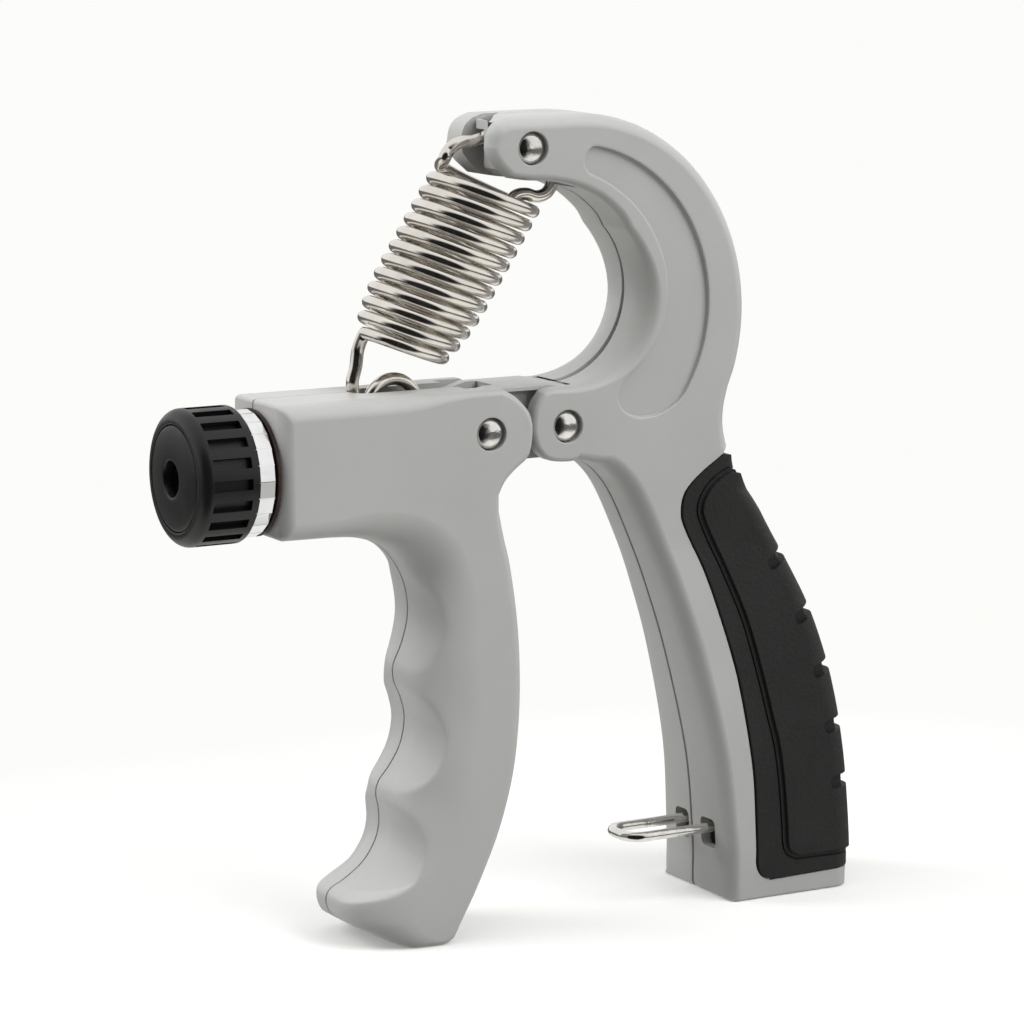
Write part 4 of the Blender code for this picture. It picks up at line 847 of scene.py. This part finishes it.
def wrapped_ring(border, back, chains):
    """A C-shaped ring round the handle's back, from chains of (way in from the border, height over the side)."""
    border, back = Vector(border), Vector(back)
    way = (back - border).normalized()
    placed = []
    for side in (FAR, NEAR):
        for chain in chains:
            row = []
            for along, height in chain:
                spot = border + way * along
                row.append((spot.x, side * (palm_half(spot.x, spot.y, side) + height), spot.y))
            placed.append(row)
    far_outer, far_inner, near_outer, near_inner = placed
    return far_outer + near_outer[::-1] + near_inner + far_inner[::-1]


def over_corner(length, level, steps):
    """The part of a chain that turns from the side face onto the handle's back."""
    round_r = min(CORNER_R, length * 0.45)
    rise = BACK_LIFT * (1 + level - RUBBER_LIFT)
    return [(length - round_r + (round_r + rise) * sine, level - round_r * (1 - cosine))
            for sine, cosine in quarter(steps)]


def rubber_section(row, seat=0.0):
    """One section of the rubber without its pad; with a seat it is the room that the rubber lies in."""
    length = max((Vector(row[2:4]) - Vector(row[0:2])).length, 0.01)
    sink = RUBBER_THICK + seat
    inner_r = max(min(CORNER_R, length * 0.45) - RUBBER_THICK, 0.3)
    floor_at = length - min(sink, length / 2 + sink - RUBBER_THICK) - inner_r
    level = RUBBER_LIFT + (6.0 if seat else 0.0)
    if seat:
        outer = [(-seat, level), (length * 0.3, level)]
    else:
        outer = [(0.0, level - 0.3), (0.04, level - 0.1), (0.16, level)]
    outer += over_corner(length, level, 3 if seat else 8)
    inner = [(-seat, -sink), (min(length * 0.3, floor_at - 0.2), -sink)]
    inner += [(floor_at + inner_r * sine, -sink - inner_r * (1 - cosine)) for sine, cosine in quarter(3)]
    return wrapped_ring(row[0:2], row[2:4], (outer, inner))


def pad_solid(name, grown, low, high, edge=0.0):
    """The raised pad's outline, grown, as a solid between two levels over the handle's surface."""
    knots = []
    last = len(PAD_BORDER) - 1
    shares = {0: -1.0, 1: -0.6, 2: -0.2, last - 2: 0.2, last - 1: 0.6, last: 1.0}
    sides = ways_along([row[:2] for row in PAD_BORDER])
    backs = ways_along([row[2:] for row in PAD_BORDER])
    for i, (x, z, back_x, back_z) in enumerate(PAD_BORDER):
        move = grown * shares.get(i, 0.0)
        knots.append((x + sides[i].y * grown, z - sides[i].x * grown,
                      back_x + backs[i].x * move, back_z + backs[i].y * move))
    rows = []
    for row in curve(knots, 8):
        length = (Vector(row[2:4]) - Vector(row[0:2])).length
        outer = [(0.0, high - edge), (edge * 0.3, high - edge * 0.3), (edge, high)] if edge else [(0.0, high)]
        outer += over_corner(length, high, 8)
        rows.append(wrapped_ring(row[0:2], row[2:4], (outer, [(0.0, low)] + over_corner(length, low, 8))))
    return loft(name, rows)


def rubber_seat(name):
    """The room that the rubber lies in, past its ends."""
    first = (-12.7, 88.9, -11.6, 88.2)
    last = (-5.4, 3.8 - CLEARANCE, 14.1, 4.2 - CLEARANCE)
    return loft(name, [rubber_section(row, CLEARANCE) for row in [first] + curve(RUBBER_BORDER, 4) + [last]])


def pad_notches(settings):
    """C-shaped cutters that cross the back of the pad and end on its sides."""
    spine = curve([row[2:] for row in PAD_BORDER[4:13]], 12)
    cutters = []
    half_height = settings.notch_height / MM / 2
    surface = RUBBER_LIFT + settings.pad_height / MM
    for k in range(settings.notches):
        wanted = NOTCH_TOP_Z - NOTCH_STEP * k
        i = min(range(1, len(spine) - 1), key=lambda n: abs(spine[n][1] - wanted))
        here = Vector(spine[i])
        along = (Vector(spine[i + 1]) - Vector(spine[i - 1])).normalized()
        out = Vector((-along.y, along.x))
        out = out if out.x > 0 else -out
        near = palm_half(0, wanted, NEAR) + surface
        far = palm_half(0, wanted, FAR) + surface
        floor = surface - NOTCH_DEPTH - 0.8
        rows = []
        for share, reach in ((-1.0, 3.7), (-0.86, 4.4), (-0.45, 4.8), (0.45, 4.8), (0.86, 4.4), (1.0, 3.7)):
            centre = here + along * (share * half_height)
            ring = [
                (5.0, -near - 4), (5.0, far + 4), (-reach, far + 4), (-reach, far - NOTCH_DEPTH),
                (-1.9, far - NOTCH_DEPTH), (floor, far - NOTCH_DEPTH - 2.0), (floor, -near + NOTCH_DEPTH + 2.0),
                (-1.9, -near + NOTCH_DEPTH), (-reach, -near + NOTCH_DEPTH), (-reach, -near - 4),
            ]
            rows.append([((centre + out * a).x, y, (centre + out * a).y) for a, y in ring])
        cutters.append(loft("pad notch", rows))
    return cutters


# The spring's wire and the bail's wire

WIRE_R = 1.2
SCREW_R = 3.0
HOOK_R = 5.4
COIL_TILT = 0.08
COIL_LEAN = 23.2
COIL_FINE = 36
UPPER_HOOK = [
    # x and z from the spring pin, from the wire's end to where the coil begins
    (0.2, -10.4), (1.6, -9.4), (3.6, -9.2), (5.8, -9.8), (8.0, -9.2), (9.3, -7.0), (9.0, -3.6), (7.4, -0.4),
    (4.2, 2.4), (0.8, 3.9), (-2.6, 3.2), (-5.2, 1.8), (-7.6, 1.1), (-9.6, 1.0), (-11.4, 0.5), (-12.8, -0.6),
    (-13.6, -2.0),
]


def spring_path(settings):
    """The wire from its upper hook down the coil to its ring round the nut's pin."""
    wire_r = settings.wire_diameter / MM / 2
    hook = Vector((NUT_PIN[0], 0.0, SCREW_Z + SCREW_R + CLEARANCE + WIRE_R + HOOK_R))
    top = Vector((SPRING_PIN[0] - 4.2, 0.0, SPRING_PIN[1] - 6.9))
    foot = hook + Vector((1.9, 0.0, 11.1))
    turns = settings.turns
    lean = math.radians(COIL_LEAN)
    side = Vector((math.cos(lean), 0.0, -math.sin(lean)))
    back = Vector((math.sin(lean) * COIL_TILT, 1.0, math.cos(lean) * COIL_TILT))
    coil_r = settings.coil_diameter / MM / 2 - wire_r
    last_r = coil_r - 2.0
    coil = []
    for i in range(1, turns * COIL_FINE + 1):
        turn = i / COIL_FINE
        angle = math.pi - 2 * math.pi * turn
        late = min(max((turn - turns + 4.5) / 4.5, 0.0), 1.0)
        radius = coil_r + (last_r - coil_r) * late**2
        centre = top.lerp(foot, turn / turns)
        coil.append(centre + side * (radius * math.cos(angle)) + back * (radius * math.sin(angle)))
    knots = [(x, 0.0, z) for x, z in about(SPRING_PIN, UPPER_HOOK)] + [tuple(coil[i]) for i in (3, 5, 7, 9)]
    points = [Vector(point) for point in curve(knots, 5)[:-11]] + coil[5:]
    ring = []
    for i in range(66):
        angle = math.radians(180 + 390 * i / 65)
        ring.append(hook + Vector((HOOK_R * math.cos(angle), 1.6 * (1 - 2 * i / 65), HOOK_R * math.sin(angle))))
    leg = [points[-2], points[-1]]
    for out, y, share in ((-0.6, 1.5, 0.78), (-1.0, 1.6, 0.55), (-1.7, 1.6, 0.35), (-1.2, 1.6, 0.15)):
        along = ring[0].lerp(points[-1], share)
        leg.append(Vector((along.x + out, y, along.z)))
    leg = curve([tuple(point) for point in leg + [ring[0], ring[3]]], 5)[6:-5]
    return [tuple(point) for point in points] + leg + [tuple(point) for point in ring[1:]]


def bail_path():
    """The bail's wire from its far stub round the loop to its near stub."""
    tip_x = FOOT_INNER_X - 18.2
    near_leg, far_leg = -6.0, 3.1
    bend = 1.6
    corner_r = 3.4
    bent_x = BAIL_PIVOT_X - bend
    halves = []
    for leg_y, out, which in ((far_leg, FAR, 1), (near_leg, NEAR, 0)):
        half = [(BAIL_PIVOT_X, corner("locking_bail", which).y)]
        half += [(BAIL_PIVOT_X - bend * (1 - cosine), leg_y + out * bend * (1 - sine)) for sine, cosine in quarter(8)]
        half += [(bent_x + (tip_x + corner_r - bent_x) * i / 8, leg_y) for i in range(1, 8)]
        half += [(tip_x + corner_r * (1 - sine), leg_y - out * corner_r * (1 - cosine)) for sine, cosine in quarter(10)]
        halves.append(half)
    path = halves[0] + [(tip_x, (near_leg + far_leg) / 2)] + halves[1][::-1]
    return [(x, y, BAIL_Z) for x, y in path]


# What a user would change

def length_setting(name, description, default):
    return FloatProperty(name=name, description=description, unit="LENGTH", default=default)


def colour_setting(name, description, default):
    return FloatVectorProperty(
        name=name, description=description, subtype="COLOR", size=3, min=0.0, max=1.0, default=default)


class GripperHandles(bpy.types.PropertyGroup):
    handle_colour: colour_setting("Handle Colour", "Colour of the moulded handles", (0.415, 0.415, 0.405))
    edge_round: length_setting("Edge Rounding", "Rounding of the handles' long edges", 0.0026)
    throat_round: length_setting("Throat Rounding", "Rounding of the edge inside the hooked arm", 0.0032)
    recess_depth: length_setting("Recess Depth", "Depth of the crescent in the arm's sides", 0.001)
    pad_colour: colour_setting("Rubber Colour", "Colour of the rubber grip", (0.016, 0.016, 0.0155))
    pad_height: length_setting("Pad Height", "Height of the raised pad over the rubber's border", 0.0007)
    notches: IntProperty(name="Notches", description="Notches across the back of the pad", min=0, max=6, default=5)
    notch_height: length_setting("Notch Height", "Height of one notch along the handle", 0.0026)


class GripperSpring(bpy.types.PropertyGroup):
    wire_diameter: length_setting("Wire Diameter", "Diameter of the spring's wire", 0.0024)
    coil_diameter: length_setting("Coil Diameter", "Outer diameter of the coil", 0.0218)
    turns: IntProperty(name="Turns", description="Turns between the two hooks", min=4, max=14, default=12)


class GripperKnob(bpy.types.PropertyGroup):
    flutes: IntProperty(name="Flutes", description="Finger flutes round the knob", min=8, max=30, default=20)
    flute_width: length_setting("Flute Width", "Width of one flute", 0.002)
    flute_depth: length_setting("Flute Depth", "Depth of one flute", 0.0013)
    facets: IntProperty(name="Collar Facets", description="Flats round the collar", min=12, max=48, default=24)


class GripperStage(bpy.types.PropertyGroup):
    floor_colour: colour_setting("Floor Colour", "Colour of the floor", (0.9, 0.9, 0.885))
    lamp_power: FloatProperty(
        name="Lamp Power", description="Power of the main soft lamp", unit="POWER", default=10.7)


# Operators

class GRIPPER_OT_finishes(bpy.types.Operator):
    """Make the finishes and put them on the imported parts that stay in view"""
    bl_idname = "gripper.finishes"
    bl_label = "Finishes"

    def execute(self, context):
        make_finishes(context.scene.gripper_handles)
        for row in frame["record"]["subparts"]:
            for slot in bpy.data.objects[row["node"]].material_slots:
                slot.material = finish_of(row["material_slot"])
        return {"FINISHED"}


class GRIPPER_OT_palm_shells(bpy.types.Operator):
    """Make the two halves of the palm handle with their recesses"""
    bl_idname = "gripper.palm_shells"
    bl_label = "Palm Handle Shells"

    def execute(self, context):
        settings = context.scene.gripper_handles
        stations, cap_pieces = palm_stations(settings)
        for node, name, side in (("palm_shell_near", "palm_half_near", NEAR),
                                 ("palm_shell_far", "palm_half_far", FAR)):
            shell = half_shell(name, stations, palm_half, side, cap_pieces, gap=PALM_JOIN_GAP)
            cutters = [crescent_cut(name + " crescent", side, settings.recess_depth / MM)]
            cutters.append(rubber_seat(name + " seat"))
            cutters += rivet_cuts(name + " spring pin", SPRING_PIN, ARM_HALF, side)
            cutters += rivet_cuts(name + " pivot", PALM_PIVOT, ARM_HALF, side)
            cutters.append(slab(name + " link room", link_outline(CLEARANCE), -CHEEK_INNER, CHEEK_INNER))
            cutters += nose_cuts(name)
            if side == NEAR:
                throat = arc(THROAT, THROAT_R, 40, -92, 30)
                cutters.append(parting_gap(name + " throat gap", throat, THROAT_GAP))
            cutters += bail_cuts(name + " bail")
            if side == FAR:
                cutters += screw_cuts(name, "palm_screw_1", ARM_HALF)
                cutters += screw_cuts(name, "palm_screw_2", ARM_HALF)
                cutters += screw_cuts(name, "palm_screw_3", palm_half(0, 62.5, FAR))
            carve(shell, cutters)
            polish(shell)
            hand_over(shell, "palm_handle", "grey_plastic", node)
        return {"FINISHED"}


class GRIPPER_OT_finger_shells(bpy.types.Operator):
    """Make the two halves of the finger handle with the barrel"""
    bl_idname = "gripper.finger_shells"
    bl_label = "Finger Handle Shells"

    def execute(self, context):
        stations, front = finger_stations(context.scene.gripper_handles)
        scallops = scallop_cuts(front)
        pivot_x, pivot_z = FINGER_PIVOT
        for node, name, side in (("finger_shell_near", "finger_half_near", NEAR),
                                 ("finger_shell_far", "finger_half_far", FAR)):
            shell = half_shell(name, stations, finger_half, side, None, 22, scallops)
            cutters = rivet_cuts(name + " pivot", FINGER_PIVOT, finger_half(*FINGER_PIVOT, side), side)
            cutters.append(box(name + " chamber", (BARREL_END_X + 6.0, -7.0, BARREL_BOTTOM_Z + 4.2),
                               (pivot_x - 6.0, 7.0, BARREL_TOP_Z - 2.0)))
            slot_r = 3.2
            slot_x = NUT_PIN[0] - HOOK_R - WIRE_R - 2.0
            outline = arc((slot_x + slot_r, 0.0), slot_r, 270, 90, 16) + [(-50, slot_r), (-50, -slot_r)]
            cutters.append(column(name + " slot", outline, pivot_z, 120))
            room = arc(FINGER_PIVOT, 8.8, 90, 270, 40)
            room += [(pivot_x + 3.0, 84.5), (-40, 84.5), (-40, 120), (pivot_x, 120)]
            cutters.append(slab(name + " link room", room, -CHEEK_INNER, CHEEK_INNER))
            cutters.append(turned(name + " bush seat", [(-5, 0), (-5, 5.8), (7, 5.8), (7, 0)], "X",
                                  (BARREL_END_X, 0, SCREW_Z), None, 48))
            if side == FAR:
                for screw in ("finger_screw_1", "finger_screw_2"):
                    cutters += screw_cuts(name, screw, finger_half(middle(screw).x, middle(screw).z, FAR))
            carve(shell, cutters)
            polish(shell)
            hand_over(shell, "finger_handle", "grey_plastic", node)
        return {"FINISHED"}


class GRIPPER_OT_link(bpy.types.Operator):
    """Make the link between the handles and the spring hanger in the arm's nose"""
    bl_idname = "gripper.link"
    bl_label = "Link and Spring Hanger"

    def execute(self, context):
        grey = finish_of("grey_plastic")
        half = CHEEK_INNER - CLEARANCE
        link = slab("link_bar", link_outline(), -half, half, 0.5, grey)
        carve(link, [
            box("link fork", (-90, -3.2, 70), (FINGER_PIVOT[0] + 4.4, 3.2, 120)),
            bore("link finger bore", FINGER_PIVOT, RIVET_HOLE_R), bore("link palm bore", PALM_PIVOT, RIVET_HOLE_R),
        ])
        top_z = FINGER_PIVOT[1] + 6.9
        carve(link, [box("link pocket", (FINGER_PIVOT[0] + 5.0, -9, top_z - 20), (PALM_PIVOT[0] - 3.0, -3.9, top_z))])
        polish(link)
        hand_over(link, "palm_handle", "grey_plastic", "link")

        x, z = SPRING_PIN
        back = 9.6
        outline = curve(about(SPRING_PIN, NOSE_FRONT), 4) + [(x + back, ARM_TOP_Z)]
        outline += about(SPRING_PIN, [(back, -7.4)]) + curve(about(SPRING_PIN, NOSE_ROOF[-3:] + NOSE_CHIN), 3)
        front_x = x - 6.3
        outline = [(max(px, front_x), pz) for px, pz in inset(outline, CLEARANCE)]
        hanger = slab("nose_hanger", outline, -6.6, 1.6, 0.7, grey)
        roof = [(-14, 2.4), (-12, 2.4), (-5.6, 3.4), (-2.9, 4.9), (0.4, 5.1), (20, 5.1), (20, -20), (-14, -20)]
        under = [(-1.5, 3.0), (-1.5, 1.6), (-6.7, -4.7), (-9.8, -6.3), (-9.8, -10), (20, -10), (20, 3)]
        hole = [(-6.0, 0.6), (-1.2, 0.6), (-6.4, -4.7)]
        carve(hanger, [
            bore("hanger bore", SPRING_PIN, RIVET_HOLE_R), slab("hanger slot", about(SPRING_PIN, roof), -1.9, 3.0),
            column("under roof", about((x, 0.0), under), z + 4.6, z + 12),
            column("hanger hole", about((x, 0.0), hole), z + 2.0, z + 12),
        ])
        polish(hanger)
        hand_over(hanger, "palm_handle", "grey_plastic", "spring_hanger")
        return {"FINISHED"}


class GRIPPER_OT_rubber(bpy.types.Operator):
    """Make the rubber grip with its raised pad, groove and notches"""
    bl_idname = "gripper.rubber"
    bl_label = "Rubber Grip"

    def execute(self, context):
        settings = context.scene.gripper_handles
        top = RUBBER_LIFT + settings.pad_height / MM
        grip = loft("rubber_grip", [rubber_section(row) for row in curve(RUBBER_BORDER, 8)], finish_of("black_rubber"))
        carve(grip, [pad_solid("groove", 1.25, RUBBER_LIFT - 0.4, 3.0)])
        carve(grip, [pad_solid("bed", 0.85, -0.9, RUBBER_LIFT - 0.03), pad_solid("pad", 0.0, -0.6, top, 0.2)], "UNION")
        carve(grip, pad_notches(settings))
        polish(grip, 34)
        hand_over(grip, "palm_handle", "black_rubber", "palm_grip_rubber")
        return {"FINISHED"}


class GRIPPER_OT_rivets(bpy.types.Operator):
    """Make the three domed rivets"""
    bl_idname = "gripper.rivets"
    bl_label = "Rivets"

    def rivets(self, copies, name, body, halves, nodes, centres):
        """Rivets through halves of these thicknesses, near and far."""
        steel = finish_of("plated_steel")
        heads = []
        for half in halves:
            seat = half - SEAT_DEPTH + 0.1
            dome = [(half - HEAD_BASE + HEAD_BASE * sine, HEAD_R * cosine) for sine, cosine in quarter(16, False)]
            heads.append([(seat, RIVET_R), (seat, HEAD_R)] + dome + [(half, 0)])
        near = [(-along, radius) for along, radius in reversed(heads[0])]
        part = turned(name + " part", near + heads[1], "Y", (0, 0, 0), steel, 64)
        points = mesh_object(name, [(x, 0.0, z) for x, z in centres], [])
        rivets = grow(points, copies, Part=part, Material=steel)
        bpy.data.objects.remove(part)
        polish(rivets, 50)
        hand_over(rivets, body, "plated_steel", *nodes)

    def execute(self, context):
        copies = geometry_tree("Copies on points", [("Part", "Object")], copies_on_points)
        self.rivets(copies, "palm_rivets", "palm_handle", (ARM_HALF, ARM_HALF),
                    ("spring_pin_rivet", "palm_pivot_rivet"), (SPRING_PIN, PALM_PIVOT))
        halves = [finger_half(*FINGER_PIVOT, side) for side in (NEAR, FAR)]
        self.rivets(copies, "finger_rivet", "finger_handle", halves, ("finger_pivot_rivet",), (FINGER_PIVOT,))
        return {"FINISHED"}


class GRIPPER_OT_spring(bpy.types.Operator):
    """Sweep the spring's wire through its hooks and coil, and the wire bail"""
    bl_idname = "gripper.spring"
    bl_label = "Spring and Bail"

    def execute(self, context):
        settings = context.scene.gripper_spring
        made = geometry_tree("Swept wire", [("Wire Radius", "Float"), ("Sides", "Int")], swept_wire)
        coil = grow(path_object("coil_spring", spring_path(settings)), made,
                    Wire_Radius=settings.wire_diameter / 2, Sides=18, Material=finish_of("spring_steel"))
        hand_over(coil, "palm_handle", "spring_steel", "spring")
        bail = grow(path_object("wire_bail", bail_path()), made,
                    Wire_Radius=0.001, Sides=18, Material=finish_of("plated_steel"))
        hand_over(bail, "bail", "plated_steel", "locking_bail")
        return {"FINISHED"}


class GRIPPER_OT_knob(bpy.types.Operator):
    """Make the fluted knob, its front disc, the faceted collar and the washer"""
    bl_idname = "gripper.knob"
    bl_label = "Knob and Collar"

    def disc(self, name, node, thinner, hole_r, edges, slot, sides):
        """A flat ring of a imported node's size with its two outer edges broken, and its radius."""
        low, high = corner(node, 0), corner(node, 1)
        outer = (high.y - low.y) / 2 - thinner
        profile = [
            (low.x, hole_r), (low.x, outer - edges[0]), (low.x + edges[0], outer), (high.x - edges[1], outer),
            (high.x, outer - edges[1]), (high.x, hole_r),
        ]
        return turned(name, profile, "X", (0, 0, SCREW_Z), finish_of(slot), sides, hollow=True), outer

    def execute(self, context):
        settings = context.scene.gripper_knob
        made = geometry_tree("Ring of cuts", [
            ("Count", "Int"), ("Distance", "Float"), ("Cut Size", "Vector"), ("Centre", "Vector")], ring_of_cuts)
        black = finish_of("black_plastic")
        low, high = corner("knob", 0), corner("knob", 1)
        front, back = low.x, high.x
        radius = (high.y - low.y) / 2
        axis = (0, 0, SCREW_Z)
        hole_r = 3.3
        profile = [(back, hole_r), (back, radius - 0.5), (back - 0.15, radius - 0.15), (back - 0.5, radius)]
        profile += [(front + 2.2 * (1 - sine), radius - 2.4 * (1 - cosine)) for sine, cosine in quarter(8)]
        profile += [(front, 10.0), (front + 0.1, 9.86), (front + 1.5, 9.86), (front + 1.5, hole_r)]
        body = turned("knob_body", profile, "X", axis, black, 160, hollow=True)
        low_x, high_x = front + 2.3, back - 1.4
        cut_height = 4.0
        depth = settings.flute_depth / MM
        knob = grow(body, made, Count=settings.flutes, Distance=(radius - depth + cut_height / 2) * MM,
                    Cut_Size=((high_x - low_x) * MM, settings.flute_width, cut_height * MM),
                    Centre=((low_x + high_x) / 2 * MM, 0.0, SCREW_Z * MM), Material=black)
        polish(knob, 36, 0.2)
        hand_over(knob, "knob_assembly", "black_plastic", "knob")

        face_r = 9.6
        profile = [(front + 1.2, hole_r), (front + 1.2, face_r), (front + 0.14, face_r), (front + 0.02, face_r - 0.12)]
        for i in range(1, 9):
            share = i / 8
            bow = 0.62 * (1 - (1 - share)**2)
            profile.append((front + 0.02 - bow, face_r - 0.12 - (face_r - hole_r - 0.5) * share))
        profile += [(front - 0.5, hole_r + 0.12), (front - 0.3, hole_r)]
        cap = turned("knob_disc", profile, "X", axis, black, 128, hollow=True)
        polish(cap, 36)
        hand_over(cap, "knob_assembly", "black_plastic", "knob_cap")

        ring, outer = self.disc("collar_ring", "knob_collar", 0.0, hole_r, (0.2, 0.35), "chrome_collar",
                                settings.facets)
        low, high = corner("knob_collar", 0), corner("knob_collar", 1)
        collar = grow(ring, made, Count=settings.facets, Distance=(outer + 0.86) * MM,
                      Cut_Size=((high.x - low.x + 2) * MM, 0.0002, 0.002),
                      Centre=((low.x + high.x) / 2 * MM, 0.0, SCREW_Z * MM), Material=finish_of("chrome_collar"))
        polish(collar, 8)
        hand_over(collar, "knob_assembly", "chrome_collar", "knob_collar")

        washer, _ = self.disc("fibre_disc", "thrust_washer", 0.3, 3.35, (0.08, 0.08), "fibre_washer", 96)
        polish(washer)
        hand_over(washer, "finger_handle", "fibre_washer", "thrust_washer")
        return {"FINISHED"}


def aim(thing, way):
    thing.rotation_mode = "QUATERNION"
    thing.rotation_quaternion = way.to_track_quat("-Z", "Y")


def either(tree, share, first, second):
    """The second shader where the share is 1, else the first."""
    return add(tree, "ShaderNodeMixShader", {"Fac": share, 1: first, 2: second})


def dark_card(tree, way, sign, bright):
    """The strength of what bright metal mirrors: dark round the camera's side, bright elsewhere."""
    ahead = add(tree, "ShaderNodeVectorMath", {0: way, 1: (-0.6 * sign, -0.8 * sign, 0.0)}, operation="DOT_PRODUCT")
    return spread(tree, ahead.outputs["Value"], 0.45, 0.75, bright, 0.015, interpolation_type="SMOOTHSTEP")


SEEN_WHITE = (0.975, 0.975, 0.955, 1.0)


class GRIPPER_OT_stage(bpy.types.Operator):
    """Set the floor, the soft lamps, the white surroundings and the camera"""
    bl_idname = "gripper.stage"
    bl_label = "Stage"

    def lamp(self, name, way, distance, size, power):
        """A square soft lamp turned to the gripper's middle."""
        data = bpy.data.lights.new(name, "AREA")
        data.shape = "RECTANGLE"
        data.size = data.size_y = size
        data.energy = power
        lamp = new_object(name, data)
        target = Vector((-0.045, 0.0, 0.075))
        lamp.location = target + Vector(way).normalized() * distance
        lamp.visible_glossy = False
        aim(lamp, target - lamp.location)

    def surroundings(self):
        """White to the camera, softer as light, and with a dark card to bright metal."""
        world = bpy.data.worlds.new("white studio")
        world.use_nodes = True
        tree = world.node_tree
        tree.nodes.clear()
        path = add(tree, "ShaderNodeLightPath").outputs
        way = add(tree, "ShaderNodeTexCoord").outputs["Generated"]
        soft = add(tree, "ShaderNodeBackground", {"Color": (1.0, 1.0, 0.99, 1.0), "Strength": 0.28})
        metal = add(tree, "ShaderNodeBackground", {"Strength": dark_card(tree, way, 1, 1.15)})
        seen = add(tree, "ShaderNodeBackground", {"Color": SEEN_WHITE})
        light = either(tree, path["Is Glossy Ray"], soft, metal)
        add(tree, "ShaderNodeOutputWorld", {"Surface": either(tree, path["Is Camera Ray"], light, seen)})
        bpy.context.scene.world = world

    def floor(self, colour):
        """A pale floor that glows white away from where the gripper stands."""
        far = 4000
        floor = mesh_object("floor", [(-far, -far, 0), (far, -far, 0), (far, far, 0), (-far, far, 0)],
                            [(0, 1, 2, 3)])
        matt = Finish("pale floor", colour, 0.9, specular=0.0)
        matt.tint(matt.noise(6, 3), 0.995, 1.0)
        tree = matt.tree
        path = add(tree, "ShaderNodeLightPath").outputs
        foot, heel = [
            add(tree, "ShaderNodeVectorMath", {0: matt.place, 1: contact}, operation="DISTANCE").outputs["Value"]
            for contact in ((0.0, 0.0, 0.0), (-0.082, 0.0, 0.0))
        ]
        nearest = add(tree, "ShaderNodeMath", {0: foot, 1: heel}, operation="MINIMUM")
        seen = either(tree, spread(tree, nearest, 0.02, 0.16, 0.2, 1.0), matt.shader,
                      add(tree, "ShaderNodeEmission", {"Color": SEEN_WHITE}))
        way = add(tree, "ShaderNodeNewGeometry").outputs["Incoming"]
        rise = add(tree, "ShaderNodeSeparateXYZ", {"Vector": way}).outputs["Z"]
        low_band = spread(tree, rise, 0.28, 0.5, 0.16, 1.0, interpolation_type="SMOOTHSTEP")
        strength = add(tree, "ShaderNodeMath", {0: dark_card(tree, way, -1, 0.9), 1: low_band}, operation="MULTIPLY")
        metal = add(tree, "ShaderNodeEmission", {"Color": (1.0, 1.0, 0.97, 1.0), "Strength": strength})
        dull = add(tree, "ShaderNodeBsdfDiffuse", {"Color": (0.32, 0.32, 0.315, 1.0)})
        surface = either(tree, path["Is Diffuse Ray"], either(tree, path["Is Glossy Ray"], seen, metal), dull)
        feed(tree.nodes["Material Output"], {"Surface": surface})
        floor.data.materials.append(matt.material)

    def execute(self, context):
        settings = context.scene.gripper_stage
        power = settings.lamp_power
        self.floor(settings.floor_colour)
        self.surroundings()
        self.lamp("key soft box", (0.45, -0.65, 0.6), 1.1, 0.9, power)
        self.lamp("back soft box", (-0.75, 0.35, 0.5), 1.1, 0.9, power * 1.1)
        self.lamp("overhead soft box", (0.0, -0.05, 1.0), 0.95, 1.0, power * 0.42)

        data = bpy.data.cameras.new("photo camera")
        data.sensor_width = 36.0
        focal_pixels, picture_pixels = 4000.0, 1024.0
        data.lens = focal_pixels / picture_pixels * data.sensor_width
        data.clip_start = 0.05
        data.clip_end = 20.0
        camera = new_object("photo camera", data)
        camera.location = (-0.41656, -0.64899, 0.20652)
        turn, drop = math.radians(29.1), math.radians(9.8)
        aim(camera, Vector((math.sin(turn) * math.cos(drop), math.cos(turn) * math.cos(drop), -math.sin(drop))))
        context.scene.camera = camera
        context.scene.view_settings.view_transform = "Standard"
        return {"FINISHED"}


PIECES = (
    GRIPPER_OT_finishes, GRIPPER_OT_palm_shells, GRIPPER_OT_finger_shells, GRIPPER_OT_link, GRIPPER_OT_rubber,
    GRIPPER_OT_rivets, GRIPPER_OT_spring, GRIPPER_OT_knob, GRIPPER_OT_stage,
)
SETTINGS = {
    "gripper_handles": GripperHandles, "gripper_spring": GripperSpring, "gripper_knob": GripperKnob,
    "gripper_stage": GripperStage,
}


class GRIPPER_PT_panel(bpy.types.Panel):
    """Sizes, colours and the pieces of the gripper"""
    bl_idname = "GRIPPER_PT_panel"
    bl_label = "Hand Gripper"
    bl_space_type = "VIEW_3D"
    bl_region_type = "UI"
    bl_category = "Gripper"

    def draw(self, context):
        for name, group in SETTINGS.items():
            column = self.layout.column(align=True)
            for key in group.__annotations__:
                column.prop(getattr(context.scene, name), key)
        for operator in PIECES:
            self.layout.operator(operator.bl_idname)


def register():
    for group in (*SETTINGS.values(), *PIECES, GRIPPER_PT_panel):
        bpy.utils.register_class(group)
    for name, group in SETTINGS.items():
        setattr(bpy.types.Scene, name, PointerProperty(type=group))


def unregister():
    for name in SETTINGS:
        delattr(bpy.types.Scene, name)
    for group in (GRIPPER_PT_panel, *reversed(PIECES), *SETTINGS.values()):
        bpy.utils.unregister_class(group)


def main():
    register()
    bpy.ops.gripper.finishes()
    bpy.ops.gripper.palm_shells()
    bpy.ops.gripper.finger_shells()
    bpy.ops.gripper.link()
    bpy.ops.gripper.rubber()
    bpy.ops.gripper.rivets()
    bpy.ops.gripper.spring()
    bpy.ops.gripper.knob()
    bpy.ops.gripper.stage()


if __name__ == "__main__":
    main()
